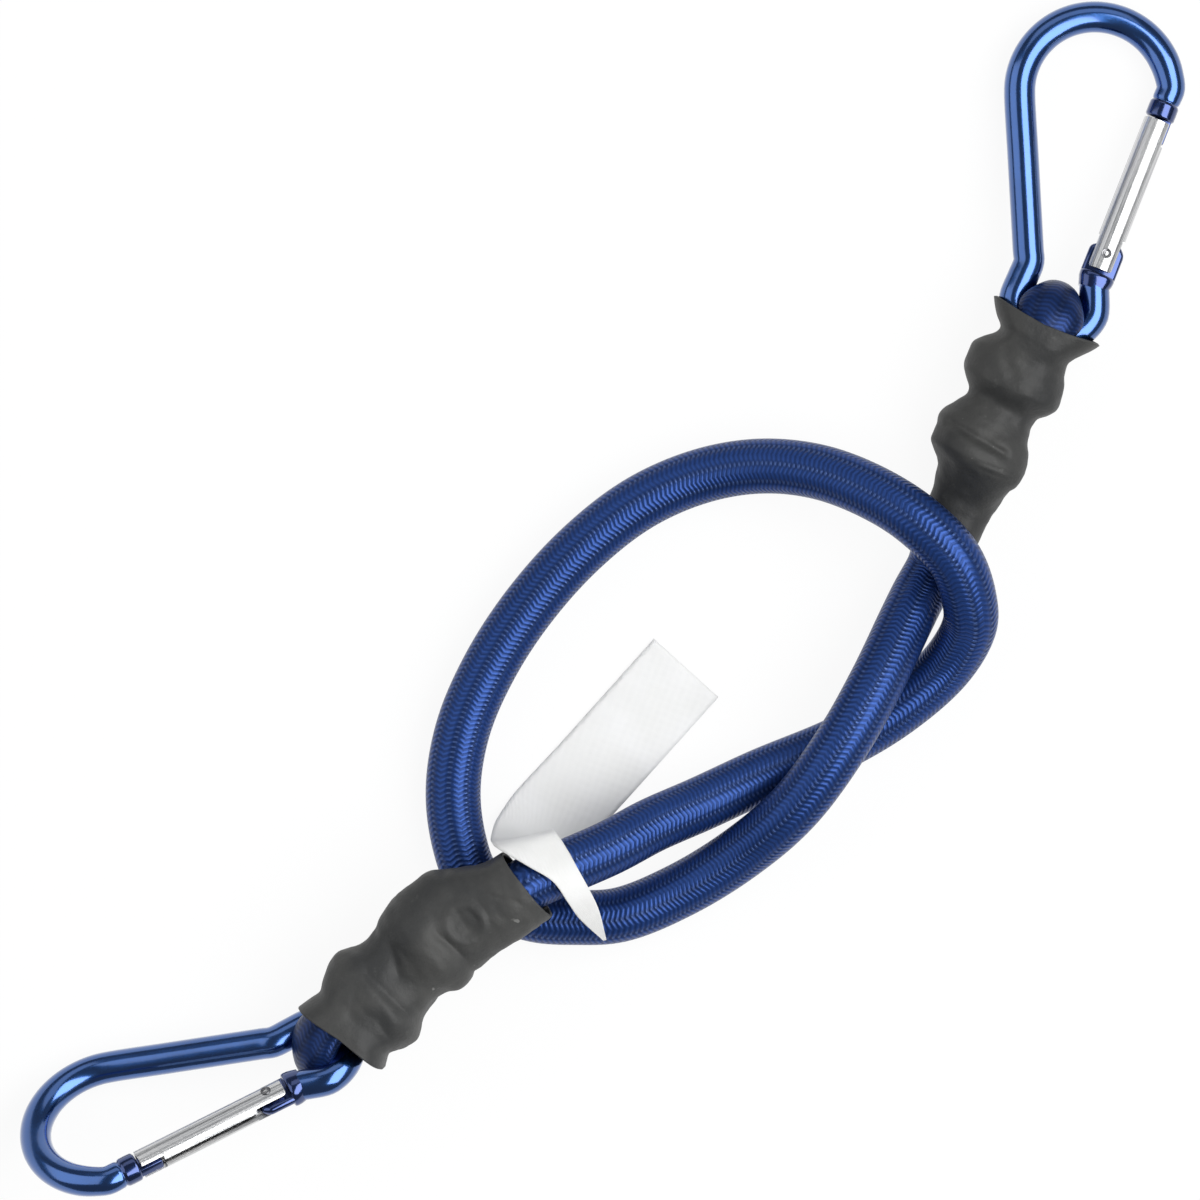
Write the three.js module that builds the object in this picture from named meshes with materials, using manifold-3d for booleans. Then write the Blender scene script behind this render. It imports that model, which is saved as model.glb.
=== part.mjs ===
// Bungee cord with a snap hook at each end, lying in a loose overhand knot. Millimetres, +Z up.
// The part lies on z = 0, seen from above with +X to the right and +Y away from the viewer.
// Each end is one group: its origin is the middle of the hook's eye bar, +Y runs out of the sleeve
// towards the hook, X lies along the bar, and the cord runs back along -Y.

import * as THREE from 'three';
import { mergeVertices } from 'three/addons/utils/BufferGeometryUtils.js';
import Module from 'manifold-3d';

const wasm = await Module();
wasm.setup();

const GAP = 0.3;                    // least gap between two pieces that sit against each other

// Cord: a woven cover over a rubber core
const CORD_DIAMETER = 12;
const COVER_WALL = 1.2;
const CORE_PLAY = 0.6;              // between the core and the cover's bore, on the radius
const CORD_STEPS = 78;
const CORD_SIDES = 10;

// Cord end: folded round the eye bar and pressed flat between two wire clamps
const STRAND_WIDTH = 12;
const STRAND_THICKNESS = 6.4;
const STRAND_SPREAD = 3.5;          // from the sleeve's axis to the middle of each folded strand
const FOLD_WIDTH = 12;
const FOLD_THICKNESS = 6.9;
const FOLD_NOSE_WIDTH = 9.6;        // where the fold passes through the eye
const FOLD_NOSE_THICKNESS = 8.8;
const BAR_PLAY = 0.6;               // between the eye bar and the fold round it
const TAIL_LENGTH = 34;             // from the eye bar to the cut end of the folded strand

// Clamps and sleeve
const CLAMP_WIRE = 3.4;
const CLAMP_PINCH = 1.5;            // of each strand's width under a clamp
const BUMP_RUN = 4;                 // length of the slope on each side of a clamp
const SLEEVE_REACH = 49.5;          // from the eye bar to the sleeve's narrow end
const SLEEVE_WALL = 0.9;
const SLEEVE_PLAY = 0.6;            // between the sleeve's wall and what it is shrunk over
const EYE_PLAY = 1.1;               // room for the eye to swing in the mouth
const NECK_RUN = 4.6;               // from the neck behind the mouth to the first clamp
const NECK_WIDTH = 17.2;
const WAIST_WIDTH = 16.4;
const WAIST_HEIGHT = 17.4;
const CORD_GRIP = 7;                // length of cord that the sleeve's narrow end holds
const CORD_DROP = 4;               // of that cord below the sleeve's axis
const SLEEVE_SIDES = 14;
const SLEEVE_FULLNESS = 2.4;

// Hook: one bent rod with a round bow, a straight spine and a small eye, closed by a sprung gate
const ROD_DIAMETER = 6.8;
const BOW_RADIUS = 16.5;            // to the rod's middle, as the eye's radius is
const EYE_RADIUS = 8.8;
const BOW_TO_EYE = 48;
const SPINE_LEAN = rad(14);
const KINK_HEIGHT = 8.6;            // of the spine's kink above the middle of the eye
const ROD_SIDES = 10;
const ROD_STEPS = 72;

// Gate: a round-backed channel that is open on its outer side
const GATE_LEAN = rad(10.5);
const RIVET_AT = new THREE.Vector2(8.9, 13.4);   // from the middle of the eye
const RIVET_DIAMETER = 2.2;
const RIVET_HEAD = 3.8;
const RIVET_HEAD_HEIGHT = 0.7;
const GATE_WIDTH = 6.2;
const GATE_WALL = 1.3;
const GATE_LENGTH = 31.5;           // from the rivet to the free end
const GATE_HEEL = 1;                // from the rivet to the middle of the gate's round heel
const EAR_LENGTH = 3.9;             // of the gate beside the rivet that has no back
const NOSE_GAP = 0.7;               // between the gate's free end and the rod's nose
const NOSE_TANG = 4.6;              // length of the tongue that the closed gate rests on
const NOSE_TANG_THICKNESS = 2.2;
const CAM_REACH = 2.9;              // from the rivet to the flat end of the hinge tongue
const CAM_FLAT = 2.4;               // width of that flat end
const HINGE_TANG = 7.4;             // width of the hinge tongue, which shows on both sides of the gate
const COLLAR_LENGTH = 3;
const COLLAR_RISE = 0.35;

// Gate spring and the pusher that it presses towards the hinge tongue
const PUSHER_HEAD = 2;
const PUSHER_DIAMETER = 2.9;
const PUSHER_OFFSET = 0.5;          // from the gate's middle towards its open side
const STEM_LENGTH = 4;
const STEM_DIAMETER = 1.2;
const SPRING_DIAMETER = 2.2;        // to the middle of its wire
const SPRING_WIRE = 0.5;
const SPRING_TURNS = 9;
const SPRING_LENGTH = 11.4;
const SPRING_STOP = 1.5;            // length of the pinched stop behind the spring

// Label: a woven strip that lies on the table, folds up and laps over the cord
const LABEL_WIDTH = 19;
const LABEL_THICKNESS = 0.4;
const LABEL_STEPS = 4;              // from one point of its middle line to the next

// Where the two ends lie: the middle of the eye bar, the turns that set each end, how far the middle of
// its sleeve is bowed along the end's own X and Z, how far the sleeve's mouth reaches past the eye bar,
// and how far behind the bar its clamps lie
const UPPER = {
  name: 'upper', at: [94.4, 55.6, 12.45], heading: rad(-25.3), pitch: rad(1), roll: 0,
  swing: rad(-7.8), turn: rad(14.2), sag: [-0.6, 0], mouth: 4.5, clamps: [10.9, 27.7],
};
const LOWER = {
  name: 'lower', at: [-53.9, -94.6, 14.4], heading: rad(128), pitch: rad(-6.2), roll: rad(224),
  swing: rad(-17.6), turn: rad(9.6), sag: [-4.2, -4.0], mouth: 3, clamps: [9.5, 24.5],
};

// The free cord's route between its two sleeves, chosen by hand: under, over and under itself
const CORD_ROUTE = [
  [72.2, 7.2, 6.2], [68.7, 0.8, 7.6], [65.9, -4.8, 10.8], [59.5, -18.0, 17.0], [52.1, -31.1, 18.9],
  [41.9, -45.0, 16.0], [30.3, -55.1, 9.6], [16.9, -63.4, 6.5], [3.8, -68.7, 6.25], [-6.0, -69.3, 6.25],
  [-14.7, -68.7, 6.25], [-22.3, -65.9, 6.25], [-28.2, -60.7, 6.25], [-31.2, -52.8, 6.25], [-32.5, -41.5, 6.25],
  [-30.4, -28.4, 6.25], [-24.8, -15.2, 6.25], [-16.3, -2.0, 6.25], [-5.0, 10.7, 6.25], [7.9, 20.8, 6.25],
  [21.3, 26.7, 6.6], [34.2, 28.9, 9], [47.1, 27.6, 13.6], [59.6, 22.7, 18.8], [69.0, 16.5, 21.9],
  [76.6, 8.5, 20.9], [79.9, -1.3, 15.8], [79.6, -6.4, 12.2], [74.7, -14.6, 7.6], [64.8, -23.4, 6.4],
  [52.4, -31.0, 6.25], [34.3, -38.6, 6.25], [21.5, -44.5, 8.4], [10.7, -49.2, 12.6], [1.6, -54.0, 16.8],
];

// The label's middle line, from the point on the table under the end of the lower sleeve: it lies on the
// table, folds up beside the cord, laps over it and tapers to a corner on the far side
const LABEL_LINE = [
  [35.3, 47.3, 0.5], [25.1, 35.9, 0.5], [13.6, 23.1, 0.5], [5.6, 14.5, 0.6], [1.7, 11.1, 2.6],
  [0.3, 9.5, 9.0], [-0.5, 10.5, 16.0], [0.7, 9.9, 25.2], [4.2, 5.7, 28.1], [7.5, 1.7, 29.0],
  [10.7, -2.5, 26.7], [13.5, -6.5, 21.2], [16.3, -10.7, 14.6],
];
// The way its width runs at each of these points, and the width there
const LABEL_ACROSS = [
  [0.74, -0.67, 0], [0.74, -0.67, 0], [0.74, -0.67, 0], [0.78, -0.62, 0], [0.9, -0.44, 0],
  [0.98, -0.2, 0], [0.98, 0.16, 0], [0.96, 0.26, -0.1], [0.92, 0.3, -0.25], [0.88, 0.38, -0.28],
  [0.88, 0.4, -0.2], [0.88, 0.35, 0], [0.8, 0.3, 0.3],
];
const LABEL_WIDTHS = [
  LABEL_WIDTH, LABEL_WIDTH, LABEL_WIDTH, LABEL_WIDTH, 16.6, 15.1, 13.0, 13.0, 11.9, 9.9, 8.1, 6.1, 2.5,
];

function rad(degrees) {
  return THREE.MathUtils.degToRad(degrees);
}

function finish(colour, roughness, metalness) {
  return new THREE.MeshStandardMaterial({ color: colour, roughness, metalness });
}

const FINISHES = {
  weave: finish(0x1d3f94, 0.75, 0),
  rubber: finish(0xb9a781, 0.8, 0),
  sleeve: finish(0x4a4b4b, 0.65, 0),
  clamp: finish(0x8d9093, 0.4, 1),
  anodised: finish(0x1f4fae, 0.25, 1),
  silver: finish(0xd9dadb, 0.3, 1),
  steel: finish(0xa9acb0, 0.35, 1),
  label: finish(0xf2f1ee, 0.85, 0),
};

function piece(name, geometry, material) {
  const mesh = new THREE.Mesh(geometry, material);
  mesh.name = name;
  return mesh;
}

// Solids and shapes

function solidOf(geometry) {
  const bare = geometry.clone();
  bare.deleteAttribute('normal');
  bare.deleteAttribute('uv');
  const merged = mergeVertices(bare, 1e-4);
  return new wasm.Manifold(new wasm.Mesh({
    numProp: 3,
    vertProperties: new Float32Array(merged.attributes.position.array),
    triVerts: new Uint32Array(merged.index.array),
  }));
}

function geometryOf(solid) {
  const { vertProperties, triVerts } = solid.getMesh();
  const geometry = new THREE.BufferGeometry();
  geometry.setAttribute('position', new THREE.BufferAttribute(vertProperties, 3));
  geometry.setIndex(new THREE.BufferAttribute(triVerts, 1));
  geometry.computeVertexNormals();
  return geometry;
}

function polygon(radius, sides) {
  const shape = new THREE.Shape();
  for (let i = 0; i < sides; i += 1) {
    const angle = (i / sides) * 2 * Math.PI;
    const corner = [radius * Math.cos(angle), radius * Math.sin(angle)];
    if (i === 0) shape.moveTo(...corner);
    else shape.lineTo(...corner);
  }
  shape.closePath();
  return shape;
}

function along(curve, shape, steps) {
  return new THREE.ExtrudeGeometry(shape, { steps, bevelEnabled: false, extrudePath: curve });
}

// A closed skin through rings of points that all have the same count. A solid loft is capped at both
// ends, and a hollow one runs back through its inner rings to where it began.
function loft(rings, hollow = false) {
  const count = rings[0].length;
  const positions = rings.flat().flatMap((point) => point.toArray());
  const faces = [];
  const spans = hollow ? rings.length : rings.length - 1;
  for (let r = 0; r < spans; r += 1) {
    const here = r * count;
    const next = ((r + 1) % rings.length) * count;
    for (let i = 0; i < count; i += 1) {
      const j = (i + 1) % count;
      faces.push(here + i, here + j, next + j, here + i, next + j, next + i);
    }
  }
  if (!hollow) {
    const last = (rings.length - 1) * count;
    for (let i = 1; i < count - 1; i += 1) {
      faces.push(0, i + 1, i, last, last + i, last + i + 1);
    }
  }
  const geometry = new THREE.BufferGeometry();
  geometry.setAttribute('position', new THREE.Float32BufferAttribute(positions, 3));
  geometry.setIndex(faces);
  geometry.computeVertexNormals();
  return geometry;
}

// A thin closed strip through rows of points, each row with the way its face looks. Both faces are cut
// along the same diagonals, so that a twisted strip keeps its thickness.
function strip(rows, faces, thickness) {
  const count = rows[0].length;
  const under = rows.length * count;
  const positions = [0.5, -0.5].flatMap((side) => rows.flatMap((row, r) => row.flatMap(
    (point) => point.clone().addScaledVector(faces[r], side * thickness).toArray(),
  )));
  const index = [];
  const quad = (a, b, c, d) => index.push(a, b, c, a, c, d);
  const last = count - 1;
  for (let r = 0; r < rows.length - 1; r += 1) {
    const here = r * count;
    const next = here + count;
    for (let i = 0; i < last; i += 1) {
      quad(here + i, here + i + 1, next + i + 1, next + i);
      quad(under + next + i + 1, under + here + i + 1, under + here + i, under + next + i);
    }
    quad(here, next, under + next, under + here);
    quad(here + last, under + here + last, under + next + last, next + last);
  }
  const end = (rows.length - 1) * count;
  for (let i = 0; i < last; i += 1) {
    quad(i, under + i, under + i + 1, i + 1);
    quad(end + i, end + i + 1, under + end + i + 1, under + end + i);
  }
  const geometry = new THREE.BufferGeometry();
  geometry.setAttribute('position', new THREE.Float32BufferAttribute(positions, 3));
  geometry.setIndex(index);
  geometry.computeVertexNormals();
  return geometry;
}

// Points round an oval with fuller corners than an ellipse when the power is above 2
function oval(halfWidth, halfHeight, sides, power) {
  const points = [];
  for (let i = 0; i < sides; i += 1) {
    const angle = ((i + 0.5) / sides) * 2 * Math.PI;
    const c = Math.cos(angle);
    const s = Math.sin(angle);
    points.push(new THREE.Vector2(
      halfWidth * Math.sign(c) * Math.abs(c) ** (2 / power),
      halfHeight * Math.sign(s) * Math.abs(s) ** (2 / power),
    ));
  }
  return points;
}

function box(low, high) {
  const size = new THREE.Vector3().subVectors(high, low);
  return new THREE.BoxGeometry(size.x, size.y, size.z)
    .translate((low.x + high.x) / 2, (low.y + high.y) / 2, (low.z + high.z) / 2);
}

function pin(radius, length, sides = 16) {
  return new THREE.CylinderGeometry(radius, radius, length, sides).rotateX(Math.PI / 2);
}

// Cord end

const ROD_RADIUS = ROD_DIAMETER / 2;
const CORD_RADIUS = CORD_DIAMETER / 2;
const SLEEVE_END = -SLEEVE_REACH;
const CORD_FACE = SLEEVE_END + CORD_GRIP;
const BEND_INSIDE = ROD_RADIUS + BAR_PLAY;
const STRANDS_HALF_HEIGHT = STRAND_SPREAD + STRAND_THICKNESS / 2;

// Each station of the folded cord: place in the end's YZ plane, half width, half thickness
function foldStations(clampY) {
  const strand = [STRAND_WIDTH / 2, STRAND_THICKNESS / 2];
  const pinched = [STRAND_WIDTH / 2 - CLAMP_PINCH, STRAND_THICKNESS / 2];
  const between = (clampY[0] + clampY[1]) / 2;
  const pastClamp = clampY[0] + CLAMP_WIRE / 2 + GAP;
  const shoulder = { y: -BEND_INSIDE - 0.5, z: STRAND_SPREAD + 2.3 };
  const stations = [
    [CORD_FACE + GAP, -CORD_DROP, CORD_RADIUS, CORD_RADIUS],
    [CORD_FACE + 4, -CORD_DROP, CORD_RADIUS, CORD_RADIUS * 0.9],
    [clampY[1] - 6, -STRAND_SPREAD - 0.4, ...strand],
    [clampY[1], -STRAND_SPREAD, ...pinched],
    [between, -STRAND_SPREAD, ...strand],
    [clampY[0], -STRAND_SPREAD, ...pinched],
    [pastClamp, -STRAND_SPREAD, ...pinched],
    [shoulder.y, -shoulder.z, STRAND_WIDTH / 2, FOLD_THICKNESS / 2 - 0.2],
  ];
  const turns = 8;
  for (let i = 0; i <= turns; i += 1) {
    const angle = -Math.PI / 2 + (i / turns) * Math.PI;
    const nose = Math.cos(angle) ** 2;
    const half = THREE.MathUtils.lerp(FOLD_THICKNESS, FOLD_NOSE_THICKNESS, nose) / 2;
    const reach = BEND_INSIDE + half;
    const width = THREE.MathUtils.lerp(FOLD_WIDTH, FOLD_NOSE_WIDTH, nose);
    stations.push([reach * Math.cos(angle), reach * Math.sin(angle), width / 2, half]);
  }
  stations.push(
    [shoulder.y, shoulder.z, STRAND_WIDTH / 2, FOLD_THICKNESS / 2 - 0.2],
    [pastClamp, STRAND_SPREAD, ...pinched],
    [clampY[0], STRAND_SPREAD, ...pinched],
    [between, STRAND_SPREAD, ...strand],
    [clampY[1], STRAND_SPREAD, ...pinched],
    [-TAIL_LENGTH, STRAND_SPREAD, ...strand],
  );
  return stations;
}

function foldedCord(clampY) {
  const stations = foldStations(clampY);
  const rings = stations.map(([y, z, halfWidth, halfThickness], i) => {
    const before = stations[Math.max(i - 1, 0)];
    const after = stations[Math.min(i + 1, stations.length - 1)];
    const run = new THREE.Vector2(after[0] - before[0], after[1] - before[1]).normalize();
    return oval(halfWidth, halfThickness, 12, 2)
      .map((p) => new THREE.Vector3(p.x, y - run.y * p.y, z + run.x * p.y));
  });
  return loft(rings.reverse());
}

// A ring of wire round both strands
function wireClamp(y) {
  const radius = CLAMP_WIRE / 2;
  const halfWidth = STRAND_WIDTH / 2 + GAP + radius;
  const halfHeight = STRANDS_HALF_HEIGHT + GAP + radius;
  const middle = oval(halfWidth, halfHeight, SLEEVE_SIDES, SLEEVE_FULLNESS);
  const rings = middle.map((p) => {
    const out = new THREE.Vector2(p.x / halfWidth ** 2, p.y / halfHeight ** 2).normalize();
    return oval(radius, radius, 8, 2).map((q) => new THREE.Vector3(
      p.x + out.x * q.x,
      y + q.y,
      p.y + out.y * q.x,
    ));
  });
  return loft(rings, true);
}

// Half the eye's width, over the rod, at a distance past the middle of its bar
function eyeHalfWidth(y) {
  const outer = EYE_RADIUS + ROD_RADIUS;
  return Math.sqrt(Math.max(outer ** 2 - (EYE_RADIUS - y) ** 2, 0));
}

// Each station of the sleeve's outside: place along the end, half width, half height, lift
function sleeveStations(mouth, clampY) {
  const over = SLEEVE_PLAY + SLEEVE_WALL;
  const mouthHalf = BEND_INSIDE + FOLD_THICKNESS + over;
  const bumpWidth = STRAND_WIDTH / 2 + GAP + CLAMP_WIRE + over;
  const bumpHeight = STRANDS_HALF_HEIGHT + GAP + CLAMP_WIRE + over;
  const endHalf = CORD_RADIUS + over;
  const stations = [];
  const flare = 3;
  for (let i = 0; i <= flare; i += 1) {
    const y = mouth * (1 - i / flare);
    stations.push([y, eyeHalfWidth(y) + EYE_PLAY + SLEEVE_WALL, mouthHalf, 0]);
  }
  stations.push([clampY[0] + NECK_RUN, NECK_WIDTH / 2, mouthHalf - 0.5, 0]);
  clampY.forEach((y, i) => {
    if (i > 0) {
      stations.push([(clampY[0] + y) / 2, WAIST_WIDTH / 2, WAIST_HEIGHT / 2, 0]);
      stations.push([y + BUMP_RUN, bumpWidth - 2, bumpHeight - 2, 0]);
    }
    stations.push([y + CLAMP_WIRE / 2, bumpWidth, bumpHeight, 0]);
    stations.push([y - CLAMP_WIRE / 2, bumpWidth, bumpHeight, 0]);
    stations.push([y - BUMP_RUN, bumpWidth - 2, bumpHeight - 2, 0]);
  });
  stations.push(
    [-TAIL_LENGTH - 1.5, WAIST_WIDTH / 2, WAIST_HEIGHT / 2, -1.3],
    [CORD_FACE + 2, endHalf + 0.3, endHalf + 0.5, -CORD_DROP + 0.7],
    [CORD_FACE - 1, endHalf, endHalf, -CORD_DROP],
    [SLEEVE_END, endHalf, endHalf, -CORD_DROP],
  );
  return stations;
}

function sleeve(mouth, clampY) {
  const ring = (inset) => ([y, halfWidth, halfHeight, lift]) => (
    oval(halfWidth - inset, halfHeight - inset, SLEEVE_SIDES, SLEEVE_FULLNESS)
      .map((p) => new THREE.Vector3(p.x, y, p.y + lift)));
  const stations = sleeveStations(mouth, clampY);
  const outer = stations.map(ring(0));
  const inner = stations.map(ring(SLEEVE_WALL)).reverse();
  return loft([...outer, ...inner], true);
}

// Hook

const GATE_WAY = new THREE.Vector2(Math.sin(GATE_LEAN), Math.cos(GATE_LEAN));
const GATE_HALF = GATE_WIDTH / 2;
const GATE_BORE = GATE_HALF - GATE_WALL;
const TANG_THICKNESS = 2 * (GATE_BORE - GAP);
const HEEL_RADIUS = GATE_HALF + 0.2;
const HINGE_SHOULDER = GATE_HEEL + HEEL_RADIUS + GAP;
const NOSE_SHOULDER = GATE_LENGTH + NOSE_GAP;
const PUSHER_AT = Math.hypot(CAM_REACH, CAM_FLAT / 2) + GAP;   // clear of the flat end at any angle

function onGateLine(distance) {
  return RIVET_AT.clone().addScaledVector(GATE_WAY, distance);
}

// The angle where a line from a point outside the eye touches the eye's middle circle
function touchAngle(point, side) {
  return point.angle() + side * Math.acos(EYE_RADIUS / point.length());
}

function arcPoints(centreY, radius, from, to, steps) {
  return Array.from({ length: steps + 1 }, (unused, i) => {
    const angle = from + ((to - from) * i) / steps;
    return new THREE.Vector2(radius * Math.cos(angle), centreY + radius * Math.sin(angle));
  });
}

// The rod's middle line, from the nose over the bow, down the spine and round the eye to the hinge
function rodLine() {
  const noseAngle = Math.asin((onGateLine(NOSE_SHOULDER).y - BOW_TO_EYE) / BOW_RADIUS);
  const bow = arcPoints(BOW_TO_EYE, BOW_RADIUS, noseAngle, Math.PI + SPINE_LEAN, 16);
  const spineTop = bow[bow.length - 1];
  const kink = new THREE.Vector2(
    spineTop.x + (spineTop.y - KINK_HEIGHT) * Math.tan(SPINE_LEAN),
    KINK_HEIGHT,
  );
  const neck = onGateLine(-HINGE_SHOULDER - 1.6);
  const eye = arcPoints(0, EYE_RADIUS, touchAngle(kink, 1), touchAngle(neck, -1) + 2 * Math.PI, 14);
  const spineMiddle = spineTop.clone().lerp(kink, 0.5);
  const spineFoot = spineTop.clone().lerp(kink, 0.9);
  return [...bow, spineMiddle, spineFoot, kink, ...eye, neck, onGateLine(-HINGE_SHOULDER)]
    .map((p) => new THREE.Vector3(p.x, p.y, 0));
}

// A flat tongue in the hook's plane, drawn in the gate's own frame: origin at the rivet, +Y up the gate
function tongue(corners, thickness) {
  const shape = new THREE.Shape(corners.map(([x, y]) => new THREE.Vector2(x, y)));
  return new THREE.ExtrudeGeometry(shape, { depth: thickness, bevelEnabled: false })
    .translate(0, 0, -thickness / 2);
}

function toHook(geometry) {
  return geometry.rotateZ(-GATE_LEAN).translate(RIVET_AT.x, RIVET_AT.y, 0);
}

function collar(end, next) {
  const way = new THREE.Vector3().subVectors(next, end).normalize();
  return new THREE.CylinderGeometry(
    ROD_RADIUS + COLLAR_RISE, ROD_RADIUS + COLLAR_RISE, COLLAR_LENGTH, ROD_SIDES,
  )
    .rotateZ(Math.atan2(-way.x, way.y))
    .translate(end.x + way.x * COLLAR_LENGTH / 2, end.y + way.y * COLLAR_LENGTH / 2, 0);
}

function hookFrame() {
  const line = rodLine();
  const path = new THREE.CatmullRomCurve3(line, false, 'centripetal');
  const rod = solidOf(along(path, polygon(ROD_RADIUS, ROD_SIDES), ROD_STEPS));
  const halfHinge = HINGE_TANG / 2;
  const hingeTang = tongue([
    [-halfHinge, -HINGE_SHOULDER - 1.5], [halfHinge, -HINGE_SHOULDER - 1.5], [halfHinge, 0.9],
    [CAM_FLAT / 2, CAM_REACH], [-CAM_FLAT / 2, CAM_REACH], [-halfHinge, 0.9],
  ], TANG_THICKNESS);
  const noseFront = GATE_HALF - 0.2;
  const noseBack = -Math.sqrt((GATE_BORE - GAP) ** 2 - (NOSE_TANG_THICKNESS / 2) ** 2);
  const noseTang = tongue([
    [noseBack, GATE_LENGTH - NOSE_TANG], [noseFront, GATE_LENGTH - NOSE_TANG],
    [noseFront, NOSE_SHOULDER + 1.5], [noseBack, NOSE_SHOULDER + 1.5],
  ], NOSE_TANG_THICKNESS);
  const rivetHole = pin(RIVET_DIAMETER / 2 + GAP, GATE_WIDTH).translate(RIVET_AT.x, RIVET_AT.y, 0);
  return geometryOf(rod
    .add(solidOf(collar(line[0], line[1])))
    .add(solidOf(toHook(hingeTang)))
    .add(solidOf(toHook(noseTang)))
    .subtract(solidOf(rivetHole)));
}

// Gate, drawn in its own frame: origin at the rivet, +Y towards its free end, +X to its open side

function gate() {
  const heel = GATE_HEEL + HEEL_RADIUS;
  const section = new THREE.Shape();
  section.moveTo(GATE_HALF, GATE_HALF);
  section.absarc(0, 0, GATE_HALF, Math.PI / 2, Math.PI * 1.5, false);
  section.lineTo(GATE_HALF, -GATE_HALF);
  section.lineTo(GATE_HALF, -GATE_BORE);
  section.absarc(0, 0, GATE_BORE, Math.PI * 1.5, Math.PI / 2, true);
  section.lineTo(GATE_HALF, GATE_BORE);
  const channel = new THREE.ExtrudeGeometry(section, {
    depth: heel + GATE_LENGTH, bevelEnabled: false, curveSegments: 8,
  }).rotateX(-Math.PI / 2).translate(0, -heel, 0);

  const outline = new THREE.Shape();
  outline.moveTo(-HEEL_RADIUS, GATE_LENGTH + 1);
  outline.lineTo(-HEEL_RADIUS, -GATE_HEEL);
  outline.absarc(0, -GATE_HEEL, HEEL_RADIUS, Math.PI, 2 * Math.PI, false);
  outline.lineTo(HEEL_RADIUS, GATE_LENGTH + 1);
  const envelope = new THREE.ExtrudeGeometry(outline, {
    depth: GATE_WIDTH * 2, bevelEnabled: false, curveSegments: 12,
  }).translate(0, 0, -GATE_WIDTH);

  const backCut = box(
    new THREE.Vector3(-GATE_WIDTH, -heel - 1, -GATE_BORE),
    new THREE.Vector3(GATE_WIDTH, EAR_LENGTH, GATE_BORE),
  );
  const rivetHole = pin(RIVET_DIAMETER / 2 + GAP, GATE_WIDTH * 2);
  const stopFrom = SPRING_FROM + SPRING_LENGTH + GAP;
  const stop = box(
    new THREE.Vector3(-GATE_BORE - 0.2, stopFrom, -GATE_BORE - 0.2),
    new THREE.Vector3(GATE_BORE, stopFrom + SPRING_STOP, GATE_BORE + 0.2),
  );
  return geometryOf(solidOf(channel)
    .intersect(solidOf(envelope))
    .subtract(solidOf(backCut))
    .subtract(solidOf(rivetHole))
    .add(solidOf(stop)));
}

function hingeRivet() {
  const shank = RIVET_DIAMETER / 2;
  const head = RIVET_HEAD / 2;
  const seat = GATE_HALF + GAP;
  const profile = [
    [0, -seat - RIVET_HEAD_HEIGHT], [head, -seat - RIVET_HEAD_HEIGHT / 2], [head, -seat],
    [shank, -seat], [shank, seat], [head, seat], [head, seat + RIVET_HEAD_HEIGHT / 2],
    [0, seat + RIVET_HEAD_HEIGHT],
  ].map(([x, y]) => new THREE.Vector2(x, y));
  return new THREE.LatheGeometry(profile, 14).rotateX(Math.PI / 2);
}

function springPusher() {
  const head = PUSHER_DIAMETER / 2;
  const stem = STEM_DIAMETER / 2;
  const shoulder = PUSHER_AT + PUSHER_HEAD;
  const profile = [
    [0, PUSHER_AT], [head, PUSHER_AT], [head, shoulder], [stem, shoulder],
    [stem, shoulder + STEM_LENGTH], [0, shoulder + STEM_LENGTH],
  ].map(([x, y]) => new THREE.Vector2(x, y));
  return new THREE.LatheGeometry(profile, 12).translate(PUSHER_OFFSET, 0, 0);
}

const SPRING_FROM = PUSHER_AT + PUSHER_HEAD + GAP;

class Helix extends THREE.Curve {
  getPoint(t, target = new THREE.Vector3()) {
    const angle = t * SPRING_TURNS * 2 * Math.PI;
    const wire = SPRING_WIRE / 2;
    return target.set(
      PUSHER_OFFSET + (SPRING_DIAMETER / 2) * Math.cos(angle),
      SPRING_FROM + wire + t * (SPRING_LENGTH - SPRING_WIRE),
      (SPRING_DIAMETER / 2) * Math.sin(angle),
    );
  }
}

function gateSpring() {
  return along(new Helix(), polygon(SPRING_WIRE / 2, 5), SPRING_TURNS * 8);
}

// The least gap between the wire's turns, measured on points a turn or so apart
function leastTurnGap(curve, turns, wire) {
  const perTurn = 24;
  const points = curve.getPoints(turns * perTurn);
  let least = Infinity;
  points.forEach((p, i) => {
    for (let j = i + perTurn / 2; j < points.length; j += 1) {
      least = Math.min(least, p.distanceTo(points[j]) - wire);
    }
  });
  return least;
}
console.log('gate spring, least gap between turns in mm:',
  leastTurnGap(new Helix(), SPRING_TURNS, SPRING_WIRE).toFixed(2));

// Bows a cord end's geometry sideways between the eye bar and the face of the free cord
function bow(geometry, [sagX, sagZ]) {
  const place = geometry.attributes.position;
  for (let i = 0; i < place.count; i += 1) {
    const share = THREE.MathUtils.clamp(place.getY(i) / CORD_FACE, 0, 1);
    const bulge = Math.sin(Math.PI * share) ** 2;
    place.setX(i, place.getX(i) + sagX * bulge);
    place.setZ(i, place.getZ(i) + sagZ * bulge);
  }
  geometry.computeVertexNormals();
  return geometry;
}

// Assembly

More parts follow.
